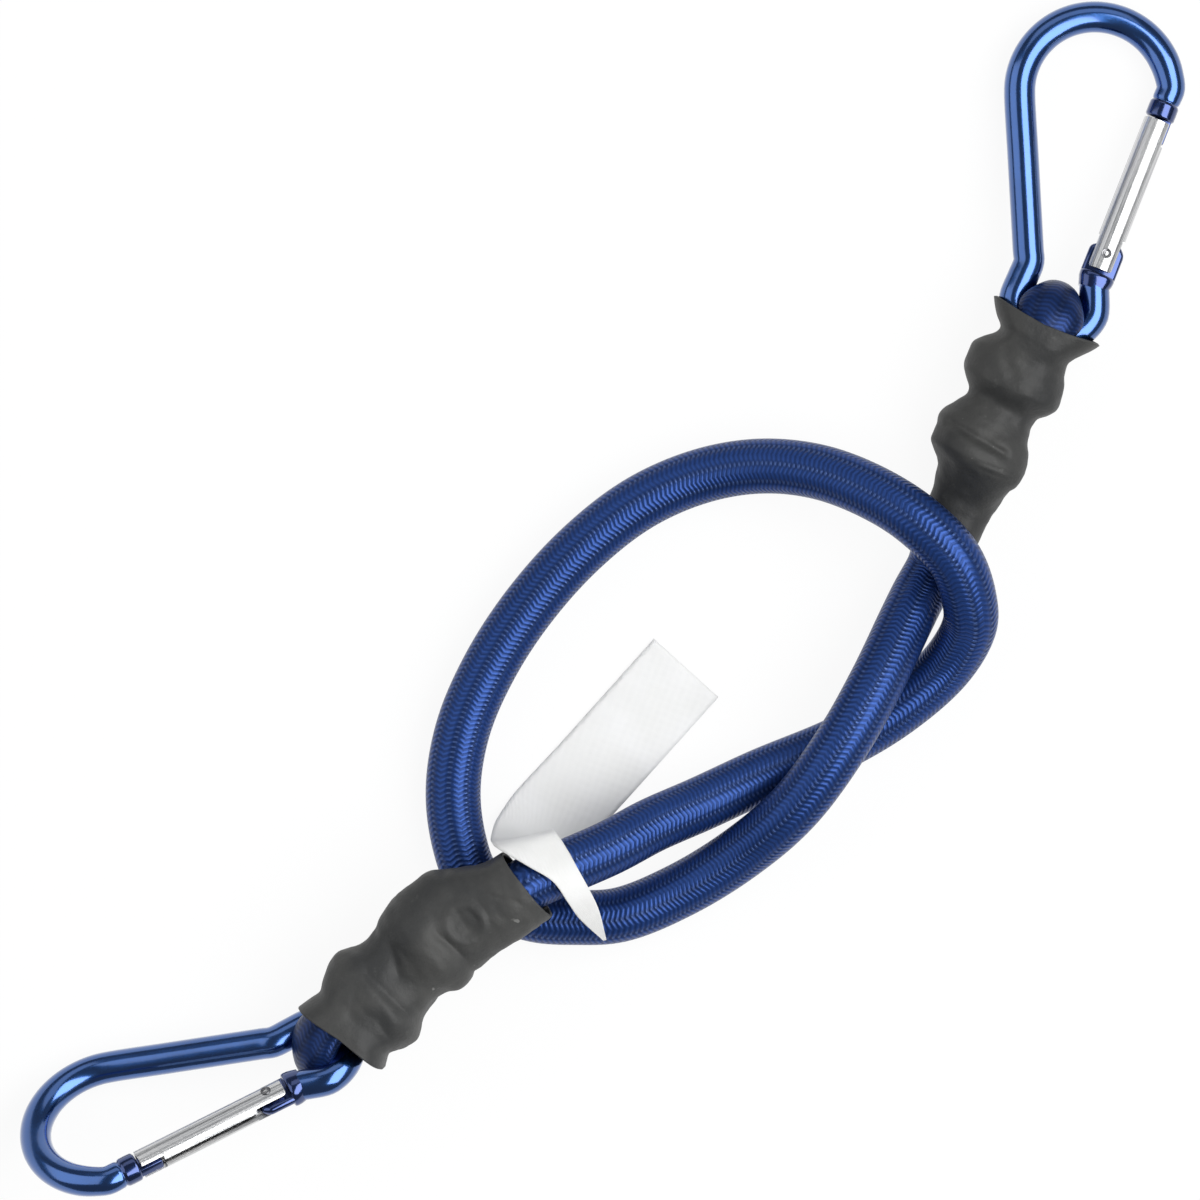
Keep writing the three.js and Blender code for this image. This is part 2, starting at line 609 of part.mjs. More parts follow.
function buildEnd({ name, at, heading, pitch, roll, swing, turn, sag, mouth, clamps }) {
  const clampY = clamps.map((distance) => -distance);
  const end = new THREE.Group();
  end.position.set(...at);
  end.rotation.set(pitch, roll, heading, 'ZXY');
  end.add(piece(`${name}_folded_cord`, bow(foldedCord(clampY), sag), FINISHES.weave));
  ['front', 'rear'].forEach((which, i) => {
    end.add(piece(`${name}_${which}_wire_clamp`, bow(wireClamp(clampY[i]), sag), FINISHES.clamp));
  });
  end.add(piece(`${name}_sleeve`, bow(sleeve(mouth, clampY), sag), FINISHES.sleeve));

  const swung = new THREE.Group();
  swung.rotation.x = swing;
  const hook = new THREE.Group();
  hook.position.y = EYE_RADIUS;
  hook.rotation.z = turn;
  hook.add(piece(`${name}_hook_frame`, hookFrame(), FINISHES.anodised));
  const hinged = new THREE.Group();
  hinged.position.set(RIVET_AT.x, RIVET_AT.y, 0);
  hinged.rotation.z = -GATE_LEAN;
  hinged.add(piece(`${name}_gate`, gate(), FINISHES.silver));
  hinged.add(piece(`${name}_gate_rivet`, hingeRivet(), FINISHES.steel));
  hinged.add(piece(`${name}_spring_pusher`, springPusher(), FINISHES.steel));
  hinged.add(piece(`${name}_gate_spring`, gateSpring(), FINISHES.steel));
  hook.add(hinged);
  swung.add(hook);
  end.add(swung);
  end.updateMatrixWorld(true);
  return end;
}

// The cord's first points inside and just past an end's sleeve
function cordLead(end) {
  return [CORD_FACE, CORD_FACE - CORD_GRIP / 2, SLEEVE_END, SLEEVE_END - 2]
    .map((y) => end.localToWorld(new THREE.Vector3(0, y, -CORD_DROP)));
}

function cordPieces(upper, lower) {
  const route = [
    ...cordLead(upper),
    ...CORD_ROUTE.map((p) => new THREE.Vector3(...p)),
    ...cordLead(lower).reverse(),
  ];
  const path = new THREE.CatmullRomCurve3(route, false, 'centripetal');
  const cover = polygon(CORD_RADIUS, CORD_SIDES);
  cover.holes.push(polygon(CORD_RADIUS - COVER_WALL, CORD_SIDES));
  const core = polygon(CORD_RADIUS - COVER_WALL - CORE_PLAY, CORD_SIDES);
  console.log('free cord, length in mm:', path.getLength().toFixed(1));
  return [
    piece('cord_cover', along(path, cover, CORD_STEPS), FINISHES.weave),
    piece('cord_core', along(path, core, CORD_STEPS), FINISHES.rubber),
  ];
}

function label(end) {
  const foot = end.localToWorld(new THREE.Vector3(0, SLEEVE_END, -CORD_DROP)).setZ(0);
  const points = LABEL_LINE.map((p) => new THREE.Vector3(...p).add(foot));
  const line = new THREE.CatmullRomCurve3(points, false, 'centripetal');
  const spans = points.length - 1;
  const rows = [];
  const faces = [];
  for (let step = 0; step <= spans * LABEL_STEPS; step += 1) {
    const t = step / (spans * LABEL_STEPS);
    const i = Math.min(Math.floor(step / LABEL_STEPS), spans - 1);
    const share = step / LABEL_STEPS - i;
    const side = new THREE.Vector3(...LABEL_ACROSS[i])
      .lerp(new THREE.Vector3(...LABEL_ACROSS[i + 1]), share).normalize();
    const half = THREE.MathUtils.lerp(LABEL_WIDTHS[i], LABEL_WIDTHS[i + 1], share) / 2;
    rows.push([-half, 0, half].map((u) => line.getPoint(t).addScaledVector(side, u)));
    faces.push(new THREE.Vector3().crossVectors(side, line.getTangent(t)).normalize());
  }
  return piece('label', strip(rows, faces, LABEL_THICKNESS), FINISHES.label);
}

const upper = buildEnd(UPPER);
const lower = buildEnd(LOWER);
const tag = label(lower);
const bungee = new THREE.Group();
bungee.add(...cordPieces(upper, lower), upper, lower, tag);

// The origin lies under the middle of everything but the free cord
const stand = new THREE.Box3();
[upper, lower, tag].forEach((group) => stand.expandByObject(group, true));
const middle = stand.getCenter(new THREE.Vector3());
bungee.position.set(-middle.x, -middle.y, -stand.min.z);

export default bungee;
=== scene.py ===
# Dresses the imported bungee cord: braided cord, shrunk sleeves, folded cord ends, cloth label,
# anodised hooks and silver gates, on a white table seen from straight above.
# Millimetres are turned to metres where a piece gets its mesh.

import math

import bmesh
import bpy
from mathutils import Matrix, Vector, noise


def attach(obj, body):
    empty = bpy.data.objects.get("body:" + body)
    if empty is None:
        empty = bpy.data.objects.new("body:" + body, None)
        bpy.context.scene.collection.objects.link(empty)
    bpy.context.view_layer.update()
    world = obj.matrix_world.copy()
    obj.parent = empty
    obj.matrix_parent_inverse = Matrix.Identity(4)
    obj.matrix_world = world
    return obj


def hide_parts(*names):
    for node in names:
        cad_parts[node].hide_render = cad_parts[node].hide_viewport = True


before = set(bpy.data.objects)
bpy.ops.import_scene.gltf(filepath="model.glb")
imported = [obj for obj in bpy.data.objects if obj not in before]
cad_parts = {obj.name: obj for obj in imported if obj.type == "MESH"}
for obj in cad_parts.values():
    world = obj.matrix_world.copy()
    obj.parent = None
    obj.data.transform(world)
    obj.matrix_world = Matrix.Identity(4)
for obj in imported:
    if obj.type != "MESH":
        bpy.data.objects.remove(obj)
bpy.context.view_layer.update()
MM = 0.001
UP = Vector((0.0, 0.0, 1.0))
TURN = 2 * math.pi

# Where things lie, in millimetres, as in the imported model
SHIFT = Vector((-0.185, -0.183, -0.039))
CORD_DIAMETER = 12.0
SLEEVE_END = -49.5
CORD_FACE = -42.5
CORD_DROP = 4.0

# An end is the middle of its eye bar, its heading, pitch and roll in degrees, its hook's swing and turn,
# the sideways bow of its sleeve, its clamps' places along it and how far the second strand is tucked in.
ENDS = {
    "upper": {
        "at": (94.4, 55.6, 12.45), "heading": -25.3, "pitch": 1.0, "roll": 0.0,
        "swing": -7.8, "turn": 14.2, "sag": (-0.6, 0.0), "clamps": (-10.9, -27.7), "tuck": 0.0,
    },
    "lower": {
        "at": (-53.9, -94.6, 14.4), "heading": 128.0, "pitch": -6.2, "roll": 224.0,
        "swing": -17.6, "turn": 9.6, "sag": (-4.2, -4.0), "clamps": (-9.5, -24.5), "tuck": 0.45,
    },
}

# The middle line of the free cord between the sleeves
CORD_ROUTE = [
    (72.2, 7.2, 6.2), (68.7, 0.8, 7.6), (65.9, -4.8, 10.8), (59.5, -18.0, 17.0), (52.1, -31.1, 18.9),
    (41.9, -45.0, 16.0), (30.3, -55.1, 9.6), (16.9, -63.4, 6.5), (3.8, -68.7, 6.25), (-6.0, -69.3, 6.25),
    (-14.7, -68.7, 6.25), (-22.3, -65.9, 6.25), (-28.2, -60.7, 6.25), (-31.2, -52.8, 6.25),
    (-32.5, -41.5, 6.25), (-30.4, -28.4, 6.25), (-24.8, -15.2, 6.25), (-16.3, -2.0, 6.25),
    (-5.0, 10.7, 6.25), (7.9, 20.8, 6.25), (21.3, 26.7, 6.6), (34.2, 28.9, 9.0), (47.1, 27.6, 13.6),
    (59.6, 22.7, 18.8), (69.0, 16.5, 21.9), (76.6, 8.5, 20.9), (79.9, -1.3, 15.8), (79.6, -6.4, 12.2),
    (74.7, -14.6, 7.6), (64.8, -23.4, 6.4), (52.4, -31.0, 6.25), (34.3, -38.6, 6.25), (21.5, -44.5, 8.4),
    (10.7, -49.2, 12.6), (1.6, -54.0, 16.8),
]


# Frames of the cord ends, hooks and gates

def turned(degrees, axis):
    """A turn about one axis."""
    return Matrix.Rotation(math.radians(degrees), 4, axis)


def lying(end):
    """An end's frame before its roll: +Y along the end to the hook, +Z up."""
    place = Matrix.Translation(Vector(end["at"]) + SHIFT)
    return place @ turned(end["heading"], "Z") @ turned(end["pitch"], "X")


def end_frame(end):
    """The end's frame: +Y along the end to the hook, +X along the eye bar."""
    return lying(end) @ turned(end["roll"], "Y")


def hook_frame(end):
    """The hook's frame, swung about the eye bar and turned in its own plane."""
    swung = end_frame(end) @ turned(end["swing"], "X")
    return swung @ Matrix.Translation((0, EYE_RADIUS, 0)) @ turned(end["turn"], "Z")


def gate_frame(end):
    """The gate's frame, with its origin at the rivet and +Y along the shut gate."""
    return hook_frame(end) @ Matrix.Translation(RIVET_AT) @ turned(-GATE_LEAN, "Z")


def bowed(point, sag):
    """A point of a cord end moved sideways with the bow of its sleeve."""
    share = min(max(point.y / CORD_FACE, 0.0), 1.0)
    bulge = math.sin(math.pi * share) ** 2
    return point + Vector((sag[0] * bulge, 0.0, sag[1] * bulge))


# Curves and meshes

def smooth_path(points, spacing):
    """Points on a centripetal Catmull-Rom curve, a spacing or less apart."""
    points = [Vector(p) for p in points]
    first = points[0] * 2 - points[1]
    last = points[-1] * 2 - points[-2]
    padded = [first, *points, last]
    path = []
    for i in range(1, len(padded) - 2):
        a, b, c, d = padded[i - 1:i + 3]
        ta = 0.0
        tb = ta + math.sqrt((b - a).length)
        tc = tb + math.sqrt((c - b).length)
        td = tc + math.sqrt((d - c).length)
        steps = max(1, math.ceil((c - b).length / spacing))
        for k in range(steps):
            t = tb + (tc - tb) * k / steps
            ab = a.lerp(b, (t - ta) / (tb - ta))
            bc = b.lerp(c, (t - tb) / (tc - tb))
            cd = c.lerp(d, (t - tc) / (td - tc))
            abc = ab.lerp(bc, (t - ta) / (tc - ta))
            bcd = bc.lerp(cd, (t - tb) / (td - tb))
            path.append(abc.lerp(bcd, (t - tb) / (tc - tb)))
    path.append(points[-1])
    return path


def run_lengths(path):
    """The distance along a path to each of its points."""
    length = [0.0]
    for a, b in zip(path, path[1:]):
        length.append(length[-1] + (b - a).length)
    return length


def through(stations, at):
    """Values on a smooth curve through stations, each a tuple that starts with its place."""
    if at <= stations[0][0]:
        return stations[0][1:]
    last = len(stations) - 1
    for i in range(last):
        low, high = stations[i], stations[i + 1]
        if at > high[0]:
            continue
        before, after = stations[max(i - 1, 0)], stations[min(i + 2, last)]
        span = high[0] - low[0]
        t = (at - low[0]) / span
        values = []
        for k in range(1, len(low)):
            slope_low = (high[k] - before[k]) / (high[0] - before[0]) * span
            slope_high = (after[k] - low[k]) / (after[0] - low[0]) * span
            values.append(
                low[k] * (2 * t ** 3 - 3 * t ** 2 + 1) + high[k] * (3 * t ** 2 - 2 * t ** 3)
                + slope_low * (t ** 3 - 2 * t ** 2 + t) + slope_high * (t ** 3 - t ** 2)
            )
        return values
    return stations[-1][1:]


def oval_ring(half_width, half_height, sides, fullness):
    """Points round an oval: a fullness of 2 is an ellipse, and more is squarer."""
    ring = []
    for k in range(sides):
        angle = TURN * k / sides
        c, s = math.cos(angle), math.sin(angle)
        ring.append((
            half_width * math.copysign(abs(c) ** (2 / fullness), c),
            half_height * math.copysign(abs(s) ** (2 / fullness), s),
        ))
    return ring


def skin(rings, capped):
    """A tube drawn out ring by ring from a circle, with U its length in mm and V the way round."""
    sides = len(rings[0])
    mesh = bmesh.new()
    uv = mesh.loops.layers.uv.new("UVMap")
    made = bmesh.ops.create_circle(mesh, segments=sides, radius=1.0, cap_ends=False)
    row = made["verts"]
    edges = list(mesh.edges)
    rows = []
    along = [0.0]
    for i, ring in enumerate(rings):
        if i:
            edges = bmesh.ops.extrude_edge_only(mesh, edges=edges)["geom"]
            new = {v for v in edges if isinstance(v, bmesh.types.BMVert)}
            edges = [e for e in edges if isinstance(e, bmesh.types.BMEdge)]
            row = [next(e.other_vert(v) for e in v.link_edges if e.other_vert(v) in new) for v in row]
            middle = sum(ring, Vector()) / sides
            before = sum(rings[i - 1], Vector()) / sides
            along.append(along[-1] + (middle - before).length)
        for vert, point in zip(row, ring):
            vert.co = point * MM
        rows.append(row)
    place = {vert: (i, k) for i, line in enumerate(rows) for k, vert in enumerate(line)}
    for face in mesh.faces:
        wraps = {place[v][1] for v in face.verts} == {0, sides - 1}
        for loop in face.loops:
            i, k = place[loop.vert]
            loop[uv].uv = (along[i], (sides if wraps and k == 0 else k) / sides)
    if capped:
        for line, distance in ((rows[0], along[0]), (rows[-1], along[-1])):
            rim = [mesh.edges.get((a, b)) for a, b in zip(line, [*line[1:], line[0]])]
            cap = bmesh.ops.contextual_create(mesh, geom=rim)["faces"]
            for face in cap:
                for loop in face.loops:
                    loop[uv].uv = (distance, 0.0)
    bmesh.ops.recalc_face_normals(mesh, faces=mesh.faces)
    return mesh


def slab(corners, thickness, edge, matrix):
    """A flat plate with eased edges, cut to the corners in its own XY plane."""
    mesh = bmesh.new()
    mesh.loops.layers.uv.new("UVMap")
    verts = [mesh.verts.new((x * MM, y * MM, -thickness / 2 * MM)) for x, y in corners]
    face = bmesh.ops.contextual_create(mesh, geom=verts)["faces"]
    raised = bmesh.ops.extrude_face_region(mesh, geom=face)["geom"]
    lifted = [v for v in raised if isinstance(v, bmesh.types.BMVert)]
    bmesh.ops.translate(mesh, verts=lifted, vec=(0.0, 0.0, thickness * MM))
    bmesh.ops.bevel(
        mesh, geom=mesh.edges[:], offset=edge * MM, affect="EDGES", segments=3, profile=0.5, material=-1,
    )
    scaled = matrix.copy()
    scaled.translation *= MM
    bmesh.ops.transform(mesh, matrix=scaled, verts=mesh.verts)
    bmesh.ops.recalc_face_normals(mesh, faces=mesh.faces)
    return mesh


def joined(meshes):
    """One mesh of several, which are used up."""
    whole = bmesh.new()
    for mesh in meshes:
        data = bpy.data.meshes.new("share")
        mesh.to_mesh(data)
        mesh.free()
        whole.from_mesh(data)
        bpy.data.meshes.remove(data)
    return whole


def piece_from(mesh, name, material, crease=None):
    """A smooth object of a mesh, which is used up; edges over the crease angle in degrees stay sharp."""
    data = bpy.data.meshes.new(name)
    mesh.to_mesh(data)
    mesh.free()
    data.materials.append(material)
    data.shade_smooth()
    if crease:
        data.set_sharp_from_angle(angle=math.radians(crease))
    piece = bpy.data.objects.new(name, data)
    bpy.context.scene.collection.objects.link(piece)
    return piece


# Shader nodes

class Value:
    """A node's output socket that takes part in Python expressions."""

    def __init__(self, recipe, socket):
        self.recipe = recipe
        self.socket = socket

    def _math(self, operation, *values):
        """A maths node on the values."""
        return self.recipe.node("ShaderNodeMath", {"operation": operation}, dict(enumerate(values)))

    def __add__(self, other):
        return self._math("ADD", self, other)

    def __sub__(self, other):
        return self._math("SUBTRACT", self, other)

    def __rsub__(self, other):
        return self._math("SUBTRACT", other, self)

    def __mul__(self, other):
        return self._math("MULTIPLY", self, other)

    def __truediv__(self, other):
        return self._math("DIVIDE", self, other)

    def __rtruediv__(self, other):
        return self._math("DIVIDE", other, self)

    __radd__ = __add__
    __rmul__ = __mul__

    def sine(self):
        return self._math("SINE", self)

    def triangle(self):
        """A wave from 0 to 1 and back over each whole step."""
        return self._math("PINGPONG", self * 2, 1.0)

    def rise(self, low, high):
        """0 below low, 1 above high and smooth between."""
        return self.recipe.node("ShaderNodeMapRange", {"interpolation_type": "SMOOTHSTEP"},
                                {"Value": self, "From Min": low, "From Max": high})


class Recipe:
    """One material and its nodes."""

    def __init__(self, name):
        self.material = bpy.data.materials.new(name)
        self.material.use_nodes = True
        self.tree = self.material.node_tree
        self.shader = self.tree.nodes["Principled BSDF"]

    def put(self, socket, value):
        """Links a value to a socket, or sets the socket to a number or a colour."""
        if isinstance(value, Value):
            self.tree.links.new(value.socket, socket)
        elif hasattr(value, "__len__") and len(value) == 3 and socket.type == "RGBA":
            socket.default_value = (*value, 1.0)
        else:
            socket.default_value = value

    def node(self, kind, settings=None, values=None, output=0):
        """A new node with its settings and inputs; one of its outputs is given back."""
        node = self.tree.nodes.new(kind)
        for key, value in (settings or {}).items():
            setattr(node, key, value)
        for key, value in (values or {}).items():
            self.put(node.inputs[key], value)
        return Value(self, node.outputs[output])

    def place(self, output="Object"):
        """Where on the object the surface is shaded."""
        return self.node("ShaderNodeTexCoord", output=output)

    def part(self, vector, output):
        """One component of a vector."""
        return self.node("ShaderNodeSeparateXYZ", values={"Vector": vector}, output=output)

    def noise(self, vector, scale, detail=3.0, roughness=0.5):
        """Cloudy noise, mostly between 0 and 1."""
        return self.node("ShaderNodeTexNoise", values={
            "Vector": vector, "Scale": scale, "Detail": detail, "Roughness": roughness,
        })

    def blend(self, share, first, second):
        """A mix of two colours."""
        node = self.tree.nodes.new("ShaderNodeMix")
        node.data_type = "RGBA"
        colours = [s for s in node.inputs if s.type == "RGBA"]
        self.put(node.inputs[0], share)
        self.put(colours[0], first)
        self.put(colours[1], second)
        return Value(self, next(s for s in node.outputs if s.type == "RGBA"))

    def bump(self, height, distance):
        """A surface that stands out by its height times the distance in metres."""
        return self.node("ShaderNodeBump", values={"Height": height, "Distance": distance})

    def finish(self, **values):
        """Sets inputs of the shader, written with underscores for spaces, and gives the material back."""
        for key, value in values.items():
            self.put(self.shader.inputs[key.replace("_", " ")], value)
        return self.material


# Finishes

STITCH_ROWS = 9
RIB_LEAN = 0.7
# Shares of the rib's blue painted in as shade: the darkest for the row between the bands, the other two
# clouded together in the valleys between the ribs
RIB_PAINTED_SHADES = (0.40, 0.55, 0.70)
COVER_TONE = (0.019, 0.057, 0.225)
# Painted shade: the fold is the same cord as the free length, painted about half as bright
FOLD_PAINTED_SHADE_TONE = (0.009, 0.030, 0.125)
STITCH_TONE = (0.09, 0.16, 0.40)
RUBBER_DARK = (0.60, 0.62, 0.63)
RUBBER_PALE = (1.14, 1.14, 1.09)
SCUFF_TONE = (0.12, 0.12, 0.115)
SPECK_TONE = (0.26, 0.26, 0.25)
ROD_DEEP = (0.020, 0.090, 0.31)
ROD_RUBBED = (0.026, 0.106, 0.355)
# Painted shade: the deeper blue of the collar and the hinge plates, for their darker reflection
COLLAR_PAINTED_SHADE = (0.010, 0.036, 0.16)
COLLAR_FADE = (3.7, 4.0)
STREAK_TONE = (0.40, 0.41, 0.42)
SILVER_TONE = (0.80, 0.80, 0.80)
STREAK_STRETCH = (0.02, 55.0)
THREAD_PITCH = 0.35
CLOTH_SHADED = (0.885, 0.885, 0.865)
CLOTH_BRIGHT = (0.925, 0.925, 0.915)


def braid(name, pitch, rib_tone, stitching, relief):
    """Satin yarn braid: bands of fine leaning ribs, with a dark row of pale stitches between the bands. The
    valleys between the ribs are painted darker and the row between the bands darkest, as painted shade.
    """
    recipe = Recipe(name)
    uv = recipe.place("UV")
    step = recipe.part(uv, 0) / pitch
    lean = (recipe.part(uv, 1) * STITCH_ROWS).triangle()
    rib = ((step + lean * RIB_LEAN) * TURN).sine() * 0.5 + 0.5
    seam = (1 - lean).rise(0.45, 0.95)
    stitch = (1 - lean).rise(0.66, 0.98) * (step * TURN).sine().rise(-0.1, 0.6)
    cloudy = recipe.noise(recipe.place(), 60.0)
    # Painted shade: darker copies of the blue for the valleys between the ribs and for the row between the
    # bands
    darkest, darker, dark = (tuple(share * v for v in rib_tone) for share in RIB_PAINTED_SHADES)
    shaded_valley = recipe.blend(cloudy.rise(0.3, 0.7), darker, dark)
    ribbed = recipe.blend(rib.rise(0.1, 0.9), shaded_valley, rib_tone)
    # Painted shade: the row between the bands is painted darkest, standing for the sheen that the bands
    # catch and the row does not
    seam_shaded = recipe.blend(seam * 0.8, ribbed, darkest)
    return recipe.finish(
        Base_Color=recipe.blend(stitch * stitching, seam_shaded, STITCH_TONE),
        Metallic=0.6,
        Roughness=0.40 - rib * 0.08,
        Normal=recipe.bump(rib * 0.5 + stitch * stitching - seam * 0.5, relief * MM),
        Specular_IOR_Level=0.3,
    )


def shrunk_rubber(name, shade):
    """Satin rubber round a shade of grey, with clouds, fine wrinkles, scuffs and a few pale specks."""
    recipe = Recipe(name)
    place = recipe.place()
    broad = recipe.noise(place, 60.0, 4.0, 0.55)
    fine = recipe.noise(place, 1100.0, 2.0)
    wrinkle = recipe.noise(place, 260.0, 4.0, 0.6)
    scuff = recipe.noise(place, 220.0, 6.0, 0.7).rise(0.60, 0.80)
    speck = recipe.noise(place, 420.0, 1.0).rise(0.735, 0.775) * broad.rise(0.5, 0.6)
    dark = tuple(shade * v for v in RUBBER_DARK)
    pale = tuple(shade * v for v in RUBBER_PALE)
    body = recipe.blend(broad.rise(0.3, 0.7), dark, pale)
    dusty = recipe.blend(scuff * 0.4, body, SCUFF_TONE)
    return recipe.finish(
        Base_Color=recipe.blend(speck * 0.5, dusty, SPECK_TONE),
        Roughness=0.45 + broad * 0.16 + scuff * 0.1,
        Normal=recipe.bump(broad * 0.5 + wrinkle * 0.22 + fine * 0.1, 0.0007),
        Specular_IOR_Level=0.3,
    )


def anodised(name):
    """Blue metal under a clear coat; the collar at the rod's nose and the hinge tongue are painted a deeper
    blue, painted shade for their darker reflection.
    """
    recipe = Recipe(name)
    place = recipe.place()
    drawn = recipe.noise(place, 300.0, 3.0)
    rubbed = recipe.noise(place, 50.0, 4.0)
    # Painted shade: below COLLAR_FADE along U, which takes in the collar and the plates, the rod's blue
    # gives way to the painted deeper blue
    outside_painted_shade = recipe.part(recipe.place("UV"), 0).rise(*COLLAR_FADE)
    rod = recipe.blend(rubbed.rise(0.35, 0.7), ROD_DEEP, ROD_RUBBED)
    return recipe.finish(
        Base_Color=recipe.blend(outside_painted_shade, COLLAR_PAINTED_SHADE, rod),
        Metallic=1.0,
        Roughness=0.16 + drawn * 0.10,
        Normal=recipe.bump(drawn, 0.00003),
        Coat_Weight=1.0,
        Coat_IOR=1.6,
        Coat_Roughness=0.11,
    )


def satin_silver(name):
    """Bare metal with fine streaks along the gate."""
    recipe = Recipe(name)
    uv = recipe.place("UV")
    along, round_it = STREAK_STRETCH
    strip = recipe.node("ShaderNodeCombineXYZ", values={
        0: recipe.part(uv, 0) * along, 1: recipe.part(uv, 1) * round_it,
    })
    streak = recipe.noise(strip, 1.0, 5.0, 0.65)
    spot = recipe.noise(recipe.place(), 1500.0, 2.0)
    return recipe.finish(
        Base_Color=recipe.blend(streak.rise(0.36, 0.60), STREAK_TONE, SILVER_TONE),
        Metallic=1.0,
        Roughness=0.20 + streak * 0.18,
        Normal=recipe.bump(streak * 0.7 + spot * 0.2, 0.00006),
    )


def plain_steel(name, pale, dark):
    """Plain metal, clouded between two tones."""
    recipe = Recipe(name)
    cloudy = recipe.noise(recipe.place(), 500.0, 4.0, 0.6)
    return recipe.finish(
        Base_Color=recipe.blend(cloudy.rise(0.35, 0.65), dark, pale),
        Metallic=1.0,
        Roughness=0.28 + cloudy * 0.16,
        Normal=recipe.bump(cloudy, 0.00003),
    )


def label_cloth(name):
    """White cloth with a fine plain weave."""
    recipe = Recipe(name)
    uv = recipe.place("UV")
    warp = (recipe.part(uv, 0) * (TURN / THREAD_PITCH)).sine()
    weft = (recipe.part(uv, 1) * (TURN / THREAD_PITCH)).sine()
    cloudy = recipe.noise(recipe.place(), 70.0)
    return recipe.finish(
        Base_Color=recipe.blend(cloudy.rise(0.3, 0.75), CLOTH_SHADED, CLOTH_BRIGHT),
        Roughness=0.72 + warp * 0.05,
        Normal=recipe.bump(warp * weft * 0.5 + cloudy * 3, 0.00012),
    )


# Camera, table and light, in metres but for the picture's scale; a lamp is its place, size and power
PICTURE_PIXELS = 1200
PIXELS_PER_MM = 4.6
VIEW_WIDTH = PICTURE_PIXELS / PIXELS_PER_MM
VIEW_MIDDLE = (-0.00073, -0.0004, 0.012)
VIEW_DEPTH = 30.0
LONG_LENS = 800.0
SENSOR_WIDTH = 36.0
TABLE_REACH = 3.0
TABLE_DROP = 0.0002
TABLE_GLOW = 0.92
SKY_TONE = (0.90, 0.94, 1.0, 1.0)
SKY_STRENGTH = 0.17
LAMPS = {
    "key_box": ((0.66, -0.05, 1.0), (1.5, 0.95), 20.5),
    "left_box": ((-0.95, 0.1, 0.8), (1.4, 1.15), 6.0),
    "far_box": ((0.0, 1.0, 0.75), (1.2, 0.6), 1.8),
}


def camera_above():
    """A camera far above with a long lens, which sees the view's width at the cord's middle height."""
    data = bpy.data.cameras.new("camera")
    data.sensor_width = SENSOR_WIDTH
    data.lens = LONG_LENS
    camera = bpy.data.objects.new("camera", data)
    x, y, middle_height = VIEW_MIDDLE
    camera.location = (x, y, middle_height + VIEW_WIDTH * MM * LONG_LENS / SENSOR_WIDTH)
    data.clip_end = VIEW_DEPTH
    bpy.context.scene.collection.objects.link(camera)
    bpy.context.scene.camera = camera


def soft_box(name, place, size, power):
    """A wide lamp that faces the middle of the table."""
    data = bpy.data.lights.new(name, "AREA")
    data.shape = "RECTANGLE"
    data.size, data.size_y = size
    data.energy = power
    lamp = bpy.data.objects.new(name, data)
    lamp.location = place
    lamp.rotation_euler = (-lamp.location).to_track_quat("-Z", "Y").to_euler()
    bpy.context.scene.collection.objects.link(lamp)


def studio_world():
    """A faint even light from all round."""
    world = bpy.data.worlds.new("studio")
    world.use_nodes = True
    back = world.node_tree.nodes["Background"]
    back.inputs["Color"].default_value = SKY_TONE
    back.inputs["Strength"].default_value = SKY_STRENGTH
    bpy.context.scene.world = world


def table():
    """A white table that glows where it is seen straight or in a shine, and still takes the shadow."""
    mesh = bmesh.new()
    bmesh.ops.create_grid(mesh, x_segments=1, y_segments=1, size=TABLE_REACH)
    bmesh.ops.translate(mesh, verts=mesh.verts, vec=(0.0, 0.0, -TABLE_DROP))
    recipe = Recipe("white_table")
    rays = recipe.tree.nodes.new("ShaderNodeLightPath")
    seen = sum(
        (Value(recipe, rays.outputs[f"Is {kind} Ray"]) for kind in ("Camera", "Glossy", "Transmission")), 0,
    )
    recipe.finish(Base_Color=(0.86, 0.86, 0.86), Roughness=0.9)
    lit = Value(recipe, recipe.shader.outputs[0])
    glow = recipe.node("ShaderNodeEmission", values={"Strength": 1.0})
    mixed = recipe.node("ShaderNodeMixShader", values={0: seen * TABLE_GLOW, 1: lit, 2: glow})
    recipe.put(recipe.tree.nodes["Material Output"].inputs["Surface"], mixed)
    piece_from(mesh, "table", recipe.material)


# Cord
CORD_SIDES = 40
CORD_STEP = 1.2
END_CREASE = 60


def tube_rings(path, radius, sides, across):
    """Round rings along a path that don't twist; across is where the first ring starts."""
    angles = [TURN * k / sides for k in range(sides)]
    rings = []
    for i, point in enumerate(path):
        run = (path[min(i + 1, len(path) - 1)] - path[max(i - 1, 0)]).normalized()
        across = (across - run * across.dot(run)).normalized()
        other = run.cross(across)
        size = radius(i) if callable(radius) else radius
        rings.append([point + (across * math.cos(a) + other * math.sin(a)) * size for a in angles])
    return rings


def free_cord(finish):
    """The cord from inside one sleeve, through its loose knot, to inside the other."""
    leads = {}
    for name, end in ENDS.items():
        leads[name] = [
            end_frame(end) @ Vector((0.0, y, -CORD_DROP))
            for y in (CORD_FACE, (CORD_FACE + SLEEVE_END) / 2, SLEEVE_END)
        ]
    route = [Vector(p) + SHIFT for p in CORD_ROUTE]
    path = smooth_path([*leads["upper"], *route, *reversed(leads["lower"])], CORD_STEP)
    rings = tube_rings(path, CORD_DIAMETER / 2, CORD_SIDES, UP)
    cord = piece_from(skin(rings, True), "braided_cord", finish, END_CREASE)
    length = run_lengths(path)[-1]
    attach(cord, "cord")
    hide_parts("cord_cover", "cord_core")
    path[0] * MM
    [p * MM for p in path]


